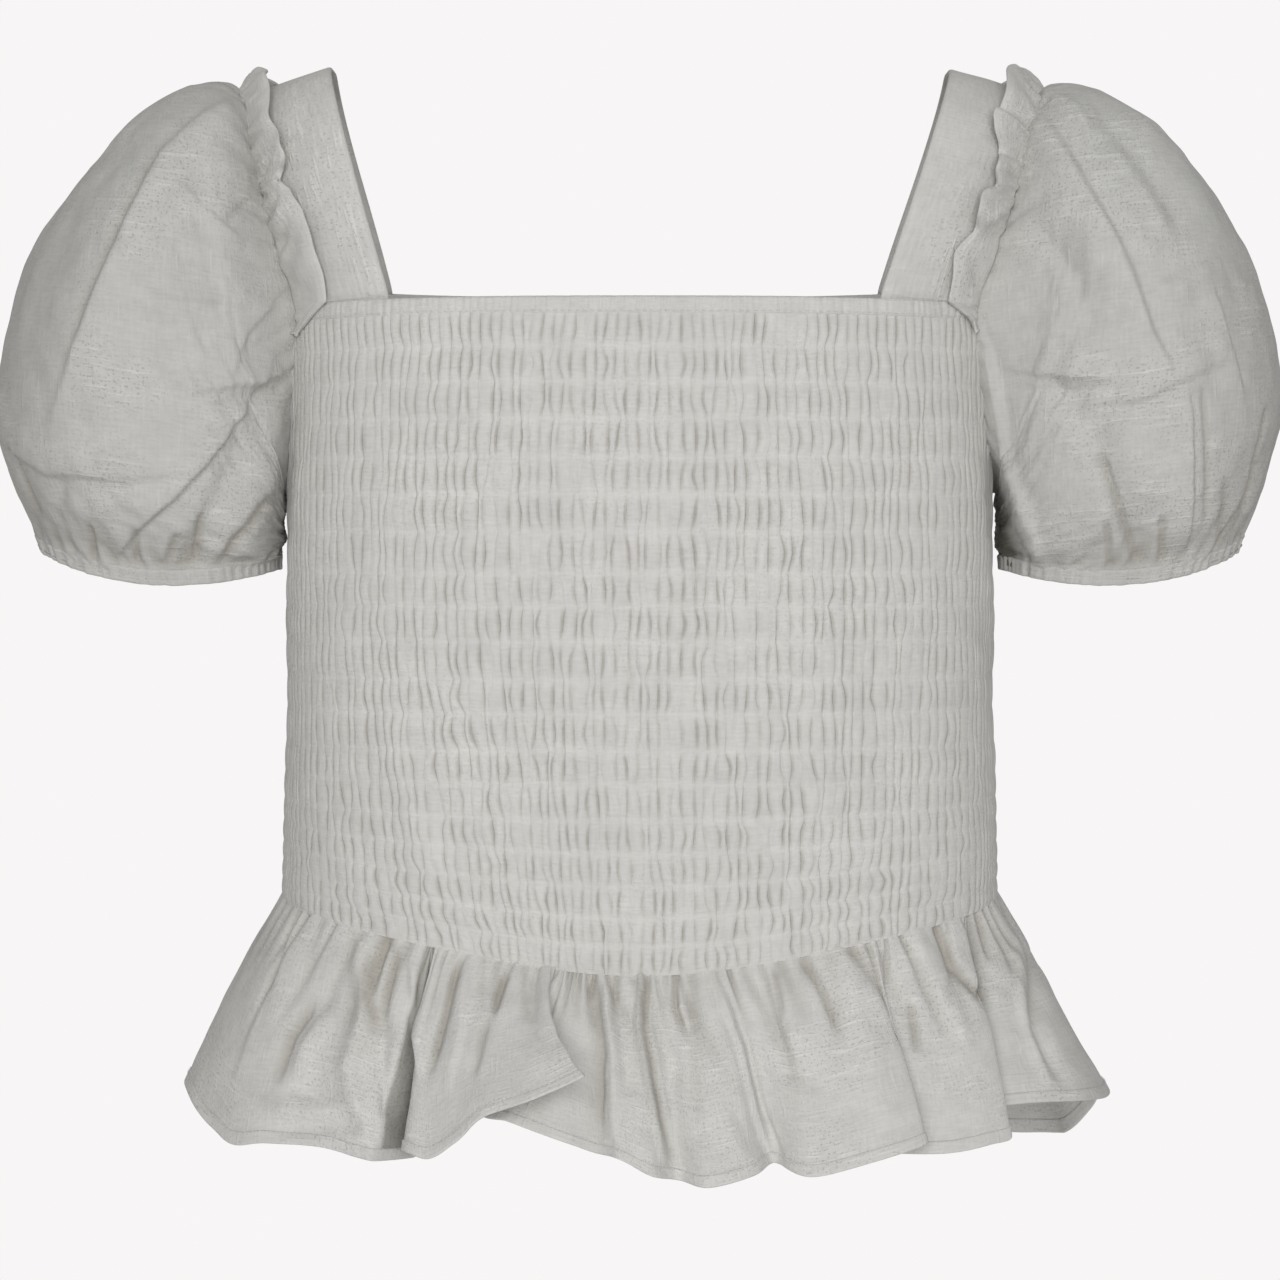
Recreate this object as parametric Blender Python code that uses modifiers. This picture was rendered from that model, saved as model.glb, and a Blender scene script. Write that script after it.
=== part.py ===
"""A girl's short-sleeved top in white cotton gauze, filled out as if worn.

The body is shirred and straight, with a square neck and two flat straps. The sleeves are short puffs whose heads
end in a frill over the strap, and a gathered peplum hangs from the body. Metres, +Z up; the front faces -Y, and the
origin lies between the highest points of the two straps. Left and right are the wearer's, so left is +X.
"""

import math
from collections import namedtuple

import bmesh
import bpy
from mathutils import Vector

# ---- the cloth ----------------------------------------------------------------------------------------------
SEAM_GAP = 0.0003
SHIRRED_WALL = 0.0024
DOUBLED_WALL = 0.0022
SINGLE_WALL = 0.0012
OFF_WHITE = (0.604, 0.597, 0.571, 1.0)
CLOTH_ROUGHNESS = 0.9

# ---- the body -----------------------------------------------------------------------------------------------
BodySection = namedtuple("BodySection", "height half_width front back")
BODY = [
    BodySection(-0.0855, 0.1300, 0.0860, 0.0840),
    BodySection(-0.1520, 0.1314, 0.0900, 0.0880),
    BodySection(-0.2400, 0.1317, 0.0900, 0.0880),
    BodySection(-0.3020, 0.1332, 0.0910, 0.0890),
]
BODY_SQUARENESS = 2.6
SEAM_HEIGHT_AT_SIDES = -0.3020
SEAM_DIP_FRONT = 0.0206
SEAM_DIP_BACK = 0.0190
NECK_HEIGHT_FRONT = -0.0855
NECK_HEIGHT_BACK = -0.0735
CASING_HEIGHT = 0.0065
UNDERARM_HEIGHT = -0.1520
ARMHOLE_HOLLOW = 2.6

# ---- the straps ---------------------------------------------------------------------------------------------
StrapEdge = namedtuple("StrapEdge", "front_foot_x back_foot_x top_x top_height")
STRAPS = {
    "left": (StrapEdge(0.0854, 0.0945, 0.1150, 0.0050), StrapEdge(0.1215, 0.1235, 0.1490, -0.0056)),
    "right": (StrapEdge(0.0892, 0.0985, 0.1145, 0.0050), StrapEdge(0.1250, 0.1260, 0.1490, -0.0056)),
}
INNER, OUTER = 0, 1
STRAP_SQUARENESS = 2.5

# ---- the sleeves: level fans of sections about the underarm, from the armhole to the hem ---------------------
SleeveSection = namedtuple("SleeveSection", "outer_x outer_z inner_x inner_z depth front_drop back_drop")
SLEEVE = [
    SleeveSection(0.1545, -0.0002, 0.1336, -0.1538, 0.0560, 0.0000, 0.0000),
    SleeveSection(0.1700, -0.0022, 0.1341, -0.1560, 0.0620, 0.0000, 0.0000),
    SleeveSection(0.1895, -0.0138, 0.1342, -0.1600, 0.0680, 0.0000, 0.0000),
    SleeveSection(0.2105, -0.0385, 0.1343, -0.1640, 0.0710, 0.0000, 0.0000),
    SleeveSection(0.2290, -0.0700, 0.1344, -0.1680, 0.0710, 0.0020, 0.0000),
    SleeveSection(0.2393, -0.1130, 0.1345, -0.1720, 0.0670, 0.0045, 0.0010),
    SleeveSection(0.2358, -0.1430, 0.1346, -0.1745, 0.0580, 0.0070, 0.0020),
    SleeveSection(0.2266, -0.1682, 0.1347, -0.1765, 0.0450, 0.0092, 0.0027),
]
SLEEVE_HEM = SleeveSection(0.2248, -0.1742, 0.1347, -0.1822, 0.0425, 0.0093, 0.0028)
SLEEVE_ROUNDNESS = 2.2
SLEEVE_FULL_DEPTH = max(section.depth for section in SLEEVE)
ARMHOLE_CLEARANCE = 0.0006
ARMHOLE_STEPS = 24

# Broad folds across a sleeve, as straight lines in the front view. Each one is repeated on the back.
SleeveFold = namedtuple("SleeveFold", "top_x top_z low_x low_z half_width lift")
SLEEVE_FOLDS = {}
SLEEVE_FOLDS["right"] = [
    SleeveFold(0.158, -0.018, 0.206, -0.125, 0.012, 0.0040),
    SleeveFold(0.143, -0.118, 0.188, -0.172, 0.010, 0.0035),
    SleeveFold(0.138, -0.085, 0.175, -0.082, 0.009, -0.0025),
]
SLEEVE_FOLDS["left"] = [
    SleeveFold(0.150, -0.022, 0.186, -0.104, 0.012, 0.0040),
    SleeveFold(0.168, -0.128, 0.182, -0.176, 0.009, -0.0035),
    SleeveFold(0.190, -0.083, 0.212, -0.072, 0.010, 0.0025),
]

# ---- the frill on the armhole seam, from its front end over the shoulder to its back end ---------------------
FrillStop = namedtuple("FrillStop", "lean reach lift")
FRILL = [
    FrillStop(-104, 0.0020, 0.0010),
    FrillStop(-97, 0.0100, 0.0018),
    FrillStop(-88, 0.0165, 0.0024),
    FrillStop(-75, 0.0180, 0.0028),
    FrillStop(-62, 0.0160, 0.0038),
    FrillStop(-52, 0.0125, 0.0075),
    FrillStop(-42, 0.0160, 0.0034),
    FrillStop(-30, 0.0125, 0.0070),
    FrillStop(-19, 0.0145, 0.0042),
    FrillStop(-11, 0.0080, 0.0090),
    FrillStop(-3, 0.0005, 0.0095),
    FrillStop(5, 0.0070, 0.0100),
    FrillStop(14, 0.0130, 0.0062),
    FrillStop(24, 0.0120, 0.0085),
    FrillStop(38, 0.0155, 0.0034),
    FrillStop(50, 0.0120, 0.0080),
    FrillStop(64, 0.0165, 0.0034),
    FrillStop(80, 0.0170, 0.0028),
    FrillStop(95, 0.0110, 0.0018),
    FrillStop(104, 0.0020, 0.0010),
]
FRILL_BASE_INSET = 0.0020
FRILL_BASE_LIFT = 0.0016
FRILL_TAIL = 0.0120
FRILL_TAIL_LEAN = 14
NORMAL_STEP = 3.0

# ---- the peplum: each row leaves the seam at one turn and meets the hem at another, so that folds overlap -----
PeplumFold = namedtuple("PeplumFold", "seam hem out height")
PEPLUM_FRONT = [
    PeplumFold(0, 0, 0.040, -0.376),
    PeplumFold(9, 10, 0.040, -0.375),
    PeplumFold(17, 20, 0.036, -0.372),
    PeplumFold(22, 29, 0.026, -0.370),
    PeplumFold(25, 38, 0.014, -0.372),
    PeplumFold(28, 35, 0.034, -0.378),
    PeplumFold(33, 39, 0.036, -0.380),
    PeplumFold(39, 45, 0.032, -0.382),
    PeplumFold(43, 55, 0.026, -0.380),
    PeplumFold(46, 50, 0.042, -0.376),
    PeplumFold(54, 58, 0.044, -0.381),
    PeplumFold(62, 66, 0.042, -0.385),
    PeplumFold(69, 68, 0.026, -0.383),
    PeplumFold(74, 73, 0.037, -0.385),
    PeplumFold(81, 80, 0.041, -0.388),
    PeplumFold(85, 84, 0.032, -0.387),
    PeplumFold(90, 88, 0.040, -0.384),
    PeplumFold(96, 93, 0.038, -0.379),
    PeplumFold(100, 97, 0.031, -0.378),
    PeplumFold(103, 103, 0.034, -0.373),
    PeplumFold(105, 111, 0.030, -0.368),
    PeplumFold(107, 115, 0.026, -0.366),
    PeplumFold(109, 98, 0.046, -0.350),
    PeplumFold(113, 105, 0.046, -0.358),
    PeplumFold(118, 112, 0.044, -0.365),
    PeplumFold(123, 116, 0.043, -0.374),
    PeplumFold(128, 120, 0.041, -0.380),
    PeplumFold(130, 125, 0.034, -0.379),
    PeplumFold(132, 130, 0.012, -0.385),
    PeplumFold(135, 129, 0.034, -0.383),
    PeplumFold(141, 131, 0.036, -0.382),
    PeplumFold(146, 137, 0.034, -0.380),
    PeplumFold(151, 144, 0.038, -0.380),
    PeplumFold(157, 149, 0.040, -0.382),
    PeplumFold(162, 155, 0.038, -0.378),
    PeplumFold(170, 167, 0.036, -0.371),
    PeplumFold(180, 180, 0.037, -0.373),
]
PEPLUM_BACK = [
    PeplumFold(180, 180, 0.037, -0.373),
    PeplumFold(189, 188, 0.038, -0.384),
    PeplumFold(197, 198, 0.031, -0.391),
    PeplumFold(204, 208, 0.037, -0.394),
    PeplumFold(210, 213, 0.026, -0.393),
    PeplumFold(215, 209, 0.039, -0.391),
    PeplumFold(223, 219, 0.041, -0.392),
    PeplumFold(231, 229, 0.032, -0.394),
    PeplumFold(238, 238, 0.040, -0.397),
    PeplumFold(246, 247, 0.036, -0.399),
    PeplumFold(252, 255, 0.024, -0.398),
    PeplumFold(256, 250, 0.041, -0.396),
    PeplumFold(263, 260, 0.042, -0.397),
    PeplumFold(271, 269, 0.030, -0.398),
    PeplumFold(278, 277, 0.040, -0.399),
    PeplumFold(286, 287, 0.037, -0.399),
    PeplumFold(292, 291, 0.027, -0.397),
    PeplumFold(299, 298, 0.040, -0.395),
    PeplumFold(307, 309, 0.036, -0.394),
    PeplumFold(313, 316, 0.024, -0.396),
    PeplumFold(317, 311, 0.040, -0.395),
    PeplumFold(325, 321, 0.041, -0.398),
    PeplumFold(333, 331, 0.030, -0.406),
    PeplumFold(341, 341, 0.037, -0.404),
    PeplumFold(349, 350, 0.035, -0.398),
    PeplumFold(356, 356, 0.039, -0.386),
    PeplumFold(360, 360, 0.040, -0.376),
]
PEPLUM_SWING = 1.4
PEPLUM_FLARE = 0.95
PEPLUM_SEAM_INSET = 0.0006


# ---- arithmetic ---------------------------------------------------------------------------------------------
def mix(low, high, share):
    return low + (high - low) * share


def smooth_row(rows, position):
    """A table's row, or a list's point, at a whole or part index, on a smooth curve through its neighbours."""
    first = min(int(position), len(rows) - 2)
    share = position - first
    ends = [rows[max(first - 1, 0)], rows[first], rows[first + 1], rows[min(first + 2, len(rows) - 1)]]
    weights = (
        (-share + 2 * share**2 - share**3) / 2,
        (2 - 5 * share**2 + 3 * share**3) / 2,
        (share + 4 * share**2 - 3 * share**3) / 2,
        (share**3 - share**2) / 2,
    )
    return [sum(weight * row[column] for weight, row in zip(weights, ends)) for column in range(len(rows[0]))]


def spread(share, stops):
    """Carries 0 to 1 onto stops, a list of (share, value), in straight stretches."""
    for (low_share, low), (high_share, high) in zip(stops, stops[1:]):
        if share <= high_share:
            return mix(low, high, (share - low_share) / (high_share - low_share))
    return stops[-1][1]


# ---- the body's form ----------------------------------------------------------------------------------------
def body_section(height):
    for upper, lower in zip(BODY, BODY[1:]):
        if height >= lower.height:
            share = min(max((upper.height - height) / (upper.height - lower.height), 0.0), 1.0)
            return BodySection(*[mix(a, b, share) for a, b in zip(upper, lower)])
    return BODY[-1]


def body_point(turn, height, out=0.0):
    """The body's surface at a turn in radians: 0 at the left side, a quarter at the front, a half at the right."""
    section = body_section(height)
    across, forward = math.cos(turn), math.sin(turn)
    depth = section.front if forward >= 0 else section.back
    reach = (abs(across) / section.half_width) ** BODY_SQUARENESS + (abs(forward) / depth) ** BODY_SQUARENESS
    reach = reach ** (-1 / BODY_SQUARENESS) + out
    return Vector((reach * across, -reach * forward, height))


def body_depth(x, height, facing):
    """How far forward, or with facing -1 backward, the body's surface lies at x."""
    section = body_section(height)
    depth = section.front if facing > 0 else section.back
    return depth * (1 - (abs(x) / section.half_width) ** BODY_SQUARENESS) ** (1 / BODY_SQUARENESS)


def neck_height(facing):
    return NECK_HEIGHT_FRONT if facing > 0 else NECK_HEIGHT_BACK


def foot_x(edge, facing):
    return edge.front_foot_x if facing > 0 else edge.back_foot_x


def strap_turn(side, facing):
    """The turn from the side at which a strap's outer edge, and so the top of the armhole, meets the neck edge."""
    outer = foot_x(STRAPS[side][OUTER], facing)
    return math.atan2(body_depth(outer, neck_height(facing), facing), outer)


def armhole_height(turn, side, facing):
    """The panel's edge around the armhole, from the casing down to the underarm; turn is measured from the side."""
    top = neck_height(facing) - CASING_HEIGHT - SEAM_GAP
    return mix(UNDERARM_HEIGHT, top, min(turn / strap_turn(side, facing), 1.0) ** ARMHOLE_HOLLOW)


def seam_height(turn):
    """The line where the panels end and the peplum begins: level at the sides, dipping at front and back."""
    dip = SEAM_DIP_FRONT if math.sin(turn) >= 0 else SEAM_DIP_BACK
    return SEAM_HEIGHT_AT_SIDES - dip * (1 - math.cos(turn) ** 2)


# ---- making a piece -----------------------------------------------------------------------------------------
def add_piece(name, columns, rows, place, wall, rolled=False, mirrored=False):
    """A sheet of cloth: a grid carried by place(across, down) onto its form, then given its wall inwards."""
    grid = bmesh.new()
    bmesh.ops.create_grid(grid, x_segments=columns, y_segments=rows, size=0.5)
    for vert in grid.verts:
        vert.co = place(vert.co.x + 0.5, vert.co.y + 0.5)
        if mirrored:
            vert.co.x = -vert.co.x
    if rolled:
        bmesh.ops.remove_doubles(grid, verts=grid.verts, dist=0.00001)
    if mirrored:
        bmesh.ops.reverse_faces(grid, faces=grid.faces)
    mesh = bpy.data.meshes.new(name)
    grid.to_mesh(mesh)
    grid.free()
    mesh.shade_smooth()
    mesh.materials.append(cloth_material(name))
    piece = bpy.data.objects.new(name, mesh)
    garment.objects.link(piece)
    thicken = piece.modifiers.new("Cloth wall", "SOLIDIFY")
    thicken.thickness = wall
    thicken.offset = -1
    thicken.use_even_offset = False
    return piece


def cloth_material(name):
    material = bpy.data.materials.new(name + "_cloth")
    material.use_nodes = True
    shader = material.node_tree.nodes["Principled BSDF"]
    shader.inputs["Base Color"].default_value = OFF_WHITE
    shader.inputs["Roughness"].default_value = CLOTH_ROUGHNESS
    shader.inputs["Metallic"].default_value = 0.0
    return material


# ---- panels and casings -------------------------------------------------------------------------------------
def side_trim():
    """Half of a seam gap, as a turn at the side of the body."""
    return SEAM_GAP / 2 / BODY[-1].half_width


def sides_across(facing):
    """The sides at which a panel's columns begin and end."""
    return ("left", "right") if facing > 0 else ("right", "left")


def around_body(turn, facing):
    return turn if facing > 0 else turn + math.pi


def add_panel(name, facing):
    """A shirred panel, with enough columns over each armhole to keep its curve."""
    first, last = sides_across(facing)
    first_corner, last_corner = strap_turn(first, facing), math.pi - strap_turn(last, facing)
    stops = [(0, side_trim()), (4 / 24, first_corner), (20 / 24, last_corner), (1, math.pi - side_trim())]

    def place(across, down):
        turn = spread(across, stops)
        if turn < math.pi / 2:
            top = armhole_height(turn, first, facing)
        else:
            top = armhole_height(math.pi - turn, last, facing)
        around = around_body(turn, facing)
        return body_point(around, mix(top, seam_height(around), down))

    return add_piece(name, 24, 8, place, SHIRRED_WALL)


def add_casing(name, facing):
    """The turned and stitched band at the neck edge, from armhole to armhole."""
    first, last = sides_across(facing)
    top = neck_height(facing)

    def place(across, down):
        turn = mix(strap_turn(first, facing), math.pi - strap_turn(last, facing), across)
        return body_point(around_body(turn, facing), top - CASING_HEIGHT * down)

    return add_piece(name, 20, 1, place, SHIRRED_WALL)


# ---- straps -------------------------------------------------------------------------------------------------
def strap_point(side, across, lean):
    """A point of a strap from its inner edge, 0, to its outer one, 1, as on the left.

    The lean runs from -90 at the front foot through 0 on the shoulder to 90 behind. Past a foot it runs on down the
    body, for what is sewn over both.
    """
    edge = StrapEdge(*[mix(inner, outer, across) for inner, outer in zip(*STRAPS[side])])
    facing = 1 if lean < 0 else -1
    foot = foot_x(edge, facing)
    foot_height = neck_height(facing) + SEAM_GAP
    if abs(lean) > 90:
        height = foot_height - FRILL_TAIL * (abs(lean) - 90) / FRILL_TAIL_LEAN
        return Vector((foot, -facing * body_depth(foot, height, facing), height))
    forward, risen = [part ** (2 / STRAP_SQUARENESS) for part in leaning(lean)]
    return Vector((
        mix(foot, edge.top_x, risen),
        -facing * forward * body_depth(foot, foot_height, facing),
        mix(foot_height, edge.top_height, risen),
    ))


def leaning(lean):
    tilt = math.radians(abs(lean))
    return math.sin(tilt), max(math.cos(tilt), 0.0)


def strap_normal(side, across, lean):
    """The way out of a strap's face."""
    along = strap_point(side, across, lean + NORMAL_STEP) - strap_point(side, across, lean - NORMAL_STEP)
    sideways = strap_point(side, 1, lean) - strap_point(side, 0, lean)
    return sideways.cross(along).normalized()


def add_strap(side):
    def place(across, along):
        return strap_point(side, across, mix(-90, 90, along))

    return add_piece("strap_" + side, 3, 20, place, DOUBLED_WALL, mirrored=side == "right")


# ---- frills -------------------------------------------------------------------------------------------------
def add_frill(side):
    """The frill lies along the strap from its outer edge inwards, standing off it in waves."""
    def place(across, along):
        inward = 1 - across
        lean, reach, lift = smooth_row(FRILL, along * (len(FRILL) - 1))
        width = (strap_point(side, 1, lean) - strap_point(side, 0, lean)).length
        over = 1 - (FRILL_BASE_INSET + reach * inward) / width
        rise = FRILL_BASE_LIFT + lift * inward**1.5
        return strap_point(side, over, lean) + strap_normal(side, over, lean) * rise

    return add_piece("sleeve_frill_" + side, 2, 36, place, SINGLE_WALL, mirrored=side == "right")


# ---- sleeves ------------------------------------------------------------------------------------------------
def armhole_half(side, facing):
    """The armhole from the shoulder down to the underarm, at the front or the back, as close points."""
    points = [strap_point(side, 1, -facing * 90 * step / ARMHOLE_STEPS) for step in range(ARMHOLE_STEPS + 1)]
    corner = strap_turn(side, facing)
    for step in range(ARMHOLE_STEPS + 1):
        turn = corner * (1 - step / ARMHOLE_STEPS)
        points.append(body_point(facing * turn, armhole_height(turn, side, facing)))
    return points


def along_path(points, share):
    """The point at a share of a path's length."""
    lengths = [(b - a).length for a, b in zip(points, points[1:])]
    left = share * sum(lengths)
    for start, end, length in zip(points, points[1:], lengths):
        if left <= length:
            return start.lerp(end, left / length)
        left -= length
    return points[-1].copy()


def section_point(section, around):
    """A point of a sleeve section: around runs 0 outside, a quarter in front, a half inside, three behind."""
    outward, forward = math.cos(around), math.sin(around)
    reach = (abs(outward) ** SLEEVE_ROUNDNESS + abs(forward) ** SLEEVE_ROUNDNESS) ** (-1 / SLEEVE_ROUNDNESS)
    middle = Vector((section.outer_x + section.inner_x, 0, section.outer_z + section.inner_z)) / 2
    half = Vector((section.outer_x - section.inner_x, 0, section.outer_z - section.inner_z)) / 2
    drop = section.front_drop if forward > 0 else section.back_drop
    sag = Vector((0, -section.depth * reach * forward, -drop * forward * forward))
    return middle + half * reach * outward + sag


def fold_lift(folds, point):
    """How far the broad folds raise a sleeve's surface, fading where it turns to the side."""
    lift = 0.0
    for fold in folds:
        top = Vector((fold.top_x, fold.top_z))
        run = Vector((fold.low_x, fold.low_z)) - top
        here = Vector((point.x, point.z)) - top
        share = min(max(here.dot(run) / run.length_squared, 0.0), 1.0)
        lift += fold.lift * math.exp(-(((here - run * share).length / fold.half_width) ** 2))
    return lift * min(abs(point.y) / SLEEVE_FULL_DEPTH, 1.0) ** 2


def sleeve_rings(side):
    """The sleeve's rings, each a function of the turn around it, from the armhole to the hem band."""
    front, back = armhole_half(side, 1), armhole_half(side, -1)

    def armhole(around):
        share = around / math.pi
        point = along_path(front, share) if share <= 1 else along_path(back, 2 - share)
        return point + Vector((ARMHOLE_CLEARANCE, 0, 0))

    return [armhole] + [lambda around, section=section: section_point(section, around) for section in SLEEVE]


def add_sleeve(side):
    rings = sleeve_rings(side)

    def place(across, down):
        around = 2 * math.pi * (across % 1.0)
        point = Vector(smooth_row([ring(around) for ring in rings], down * (len(rings) - 1)))
        fade = math.sin(math.pi * min(max(down, 0.0), 1.0)) ** 0.5
        lift = fade * fold_lift(SLEEVE_FOLDS[side], point)
        return point + Vector((0, math.copysign(lift, point.y), 0))

    return add_piece("sleeve_" + side, 28, 11, place, SINGLE_WALL, rolled=True, mirrored=side == "right")


def add_sleeve_hem(side):
    def place(across, down):
        around = 2 * math.pi * (across % 1.0)
        upper, lower = section_point(SLEEVE[-1], around), section_point(SLEEVE_HEM, around)
        return upper.lerp(lower, mix(SEAM_GAP / (lower - upper).length, 1, down))

    return add_piece("sleeve_hem_" + side, 28, 1, place, SINGLE_WALL, rolled=True, mirrored=side == "right")


# ---- the peplum ---------------------------------------------------------------------------------------------
def add_peplum(name, folds):
    def place(across, down):
        seam, hem, out, height = smooth_row(folds, across * (len(folds) - 1))
        trim = mix(1, -1, across) * math.degrees(side_trim()) * 1.5
        seam, hem = math.radians(seam + trim), math.radians(hem + trim)
        top = seam_height(seam) - SEAM_GAP
        around = mix(seam, hem, down**PEPLUM_SWING)
        flare = mix(-PEPLUM_SEAM_INSET, out, down**PEPLUM_FLARE)
        foot = body_point(around, BODY[-1].height, flare)
        foot.z = mix(top, height, down)
        return foot

    return add_piece(name, 2 * (len(folds) - 1), 5, place, SINGLE_WALL)


# ---- the whole top ------------------------------------------------------------------------------------------
for leftover in list(bpy.data.objects):
    bpy.data.objects.remove(leftover, do_unlink=True)
garment = bpy.data.collections.new("shirred_top")
bpy.context.scene.collection.children.link(garment)

add_panel("bodice_front", 1)
add_panel("bodice_back", -1)
add_casing("neck_casing_front", 1)
add_casing("neck_casing_back", -1)
for side in ("left", "right"):
    add_strap(side)
    add_sleeve(side)
    add_frill(side)
    add_sleeve_hem(side)
add_peplum("peplum_front", PEPLUM_FRONT)
add_peplum("peplum_back", PEPLUM_BACK)
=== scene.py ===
"""Looks of a girl's shirred top in off-white cotton gauze, filled out as if worn.

Each piece is cloth laid on the form of its solid: shirred panels whose gathers run between
stitched rows, flat straps, puff sleeves with creases and gathered hems, frills, and a peplum of
soft folds. Metres, +Z up; the front faces -Y, and left and right are the wearer's, so left is +X.
"""

import math
from collections import namedtuple

import bmesh
import bpy
import numpy as np
from mathutils import Matrix, Vector


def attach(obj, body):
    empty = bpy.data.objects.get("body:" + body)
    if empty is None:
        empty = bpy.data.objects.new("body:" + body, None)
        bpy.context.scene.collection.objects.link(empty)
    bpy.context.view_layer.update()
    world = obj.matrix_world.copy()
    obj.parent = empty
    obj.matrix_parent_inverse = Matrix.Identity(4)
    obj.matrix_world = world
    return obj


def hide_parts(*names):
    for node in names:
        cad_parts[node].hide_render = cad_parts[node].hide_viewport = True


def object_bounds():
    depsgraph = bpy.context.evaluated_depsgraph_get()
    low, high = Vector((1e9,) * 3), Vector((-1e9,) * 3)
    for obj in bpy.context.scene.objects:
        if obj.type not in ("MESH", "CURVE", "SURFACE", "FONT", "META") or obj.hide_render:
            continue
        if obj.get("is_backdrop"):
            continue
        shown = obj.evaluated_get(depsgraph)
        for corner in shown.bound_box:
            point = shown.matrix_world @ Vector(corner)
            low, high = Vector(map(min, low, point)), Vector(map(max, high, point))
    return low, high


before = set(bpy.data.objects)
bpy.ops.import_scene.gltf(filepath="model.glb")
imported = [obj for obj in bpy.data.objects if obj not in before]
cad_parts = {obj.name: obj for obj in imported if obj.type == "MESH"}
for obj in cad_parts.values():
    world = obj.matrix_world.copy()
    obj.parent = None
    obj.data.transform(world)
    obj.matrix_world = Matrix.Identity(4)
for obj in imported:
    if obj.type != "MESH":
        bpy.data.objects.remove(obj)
SOLID_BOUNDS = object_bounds()

bl_info = {
    "name": "Shirred top",
    "version": (1, 0, 0),
    "blender": (4, 5, 0),
    "location": "View3D > Sidebar > Shirred top",
    "description": "Builds a shirred gauze top with puff sleeves, frills and a gathered peplum",
    "category": "Object",
}


# ---- tables: lengths in millimetres and angles in degrees. Single values are in metres ---------
def table(kind, degrees, rows):
    """Rows of one kind: the first columns, as many as degrees says, are angles, and the rest lengths."""
    return [kind(*row[:degrees], *(size / 1000 for size in row[degrees:])) for row in rows]


# A crease raises the cloth by lift, or sinks it below zero, and fades over a distance on the left
# and one on the right of its run. A short one beside a long one makes a fold with a sharp edge.
Crease = namedtuple("Crease", "lift left right points")


def creases(rows):
    """Creases in front view: rows of lift, left, right, then x and z from where each begins to its end."""
    return [Crease(*(size / 1000 for size in row[:3]), np.reshape(row[3:], (-1, 2)) / 1000) for row in rows]


# ---- the body's form, as in the solids ---------------------------------------------------------
BodySection = namedtuple("BodySection", "height half_width front back")
BODY = table(BodySection, 0, [
    (-85.5, 130, 86, 84), (-152, 131.4, 90, 88), (-240, 131.7, 90, 88), (-302, 133.2, 91, 89),
])
BODY_SQUARENESS = 2.6
SEAM_HEIGHT_AT_SIDES = -0.3020
SEAM_DIP = {1: 0.0206, -1: 0.0190}
NECK_HEIGHT = {1: -0.0855, -1: -0.0735}
CASING_HEIGHT = 0.0065
CASING_GATHER_SCALE = 0.27
UNDERARM_HEIGHT = -0.1520
ARMHOLE_HOLLOW = 2.6
SEAM_GAP = 0.0003

StrapEdge = namedtuple("StrapEdge", "front_foot_x back_foot_x top_x top_height")
STRAPS = {
    "left": table(StrapEdge, 0, [(85.4, 94.5, 115, 5), (121.5, 123.5, 149, -5.6)]),
    "right": table(StrapEdge, 0, [(89.2, 98.5, 114.5, 5), (125, 126, 149, -5.6)]),
}
OUTER = 1
STRAP_SQUARENESS = 2.5

SleeveSection = namedtuple("SleeveSection", "outer_x outer_z inner_x inner_z depth front_drop back_drop")
SLEEVE = table(SleeveSection, 0, [
    (154.5, -0.2, 133.6, -153.8, 56, 0, 0), (170, -2.2, 134.1, -156, 62, 0, 0),
    (189.5, -13.8, 134.2, -160, 68, 0, 0), (210.5, -38.5, 134.3, -164, 71, 0, 0),
    (229, -70, 134.4, -168, 71, 2, 0), (239.3, -113, 134.5, -172, 67, 4.5, 1),
    (235.8, -143, 134.6, -174.5, 58, 7, 2), (226.6, -168.2, 134.7, -176.5, 45, 9.2, 2.7),
])
SLEEVE_HEM = table(SleeveSection, 0, [(224.8, -174.2, 134.7, -182.2, 42.5, 9.3, 2.8)])[0]
SLEEVE_ROUNDNESS = 2.2
SLEEVE_HEM_DOWN = 0.97
SLEEVE_CROWDING = 0.36
SLEEVE_SIDE_BLEND = 0.024
# Crease depths at which the painted crease shade is full.
FULL_CREASE = {"sleeve": 0.0024, "peplum": 0.0026}
# These only scale the gathers; the sleeve's own length, armhole and hem are others.
SLEEVE_GATHER_REACH = 0.150
ARMHOLE_GATHER_SCALE = 0.34
HEM_GATHER_SCALE = 0.24
HEM_GATHER_REACH = 0.006
ARMHOLE_STITCHES_DOWN = 0.028
ARMHOLE_STEPS = 24

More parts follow.
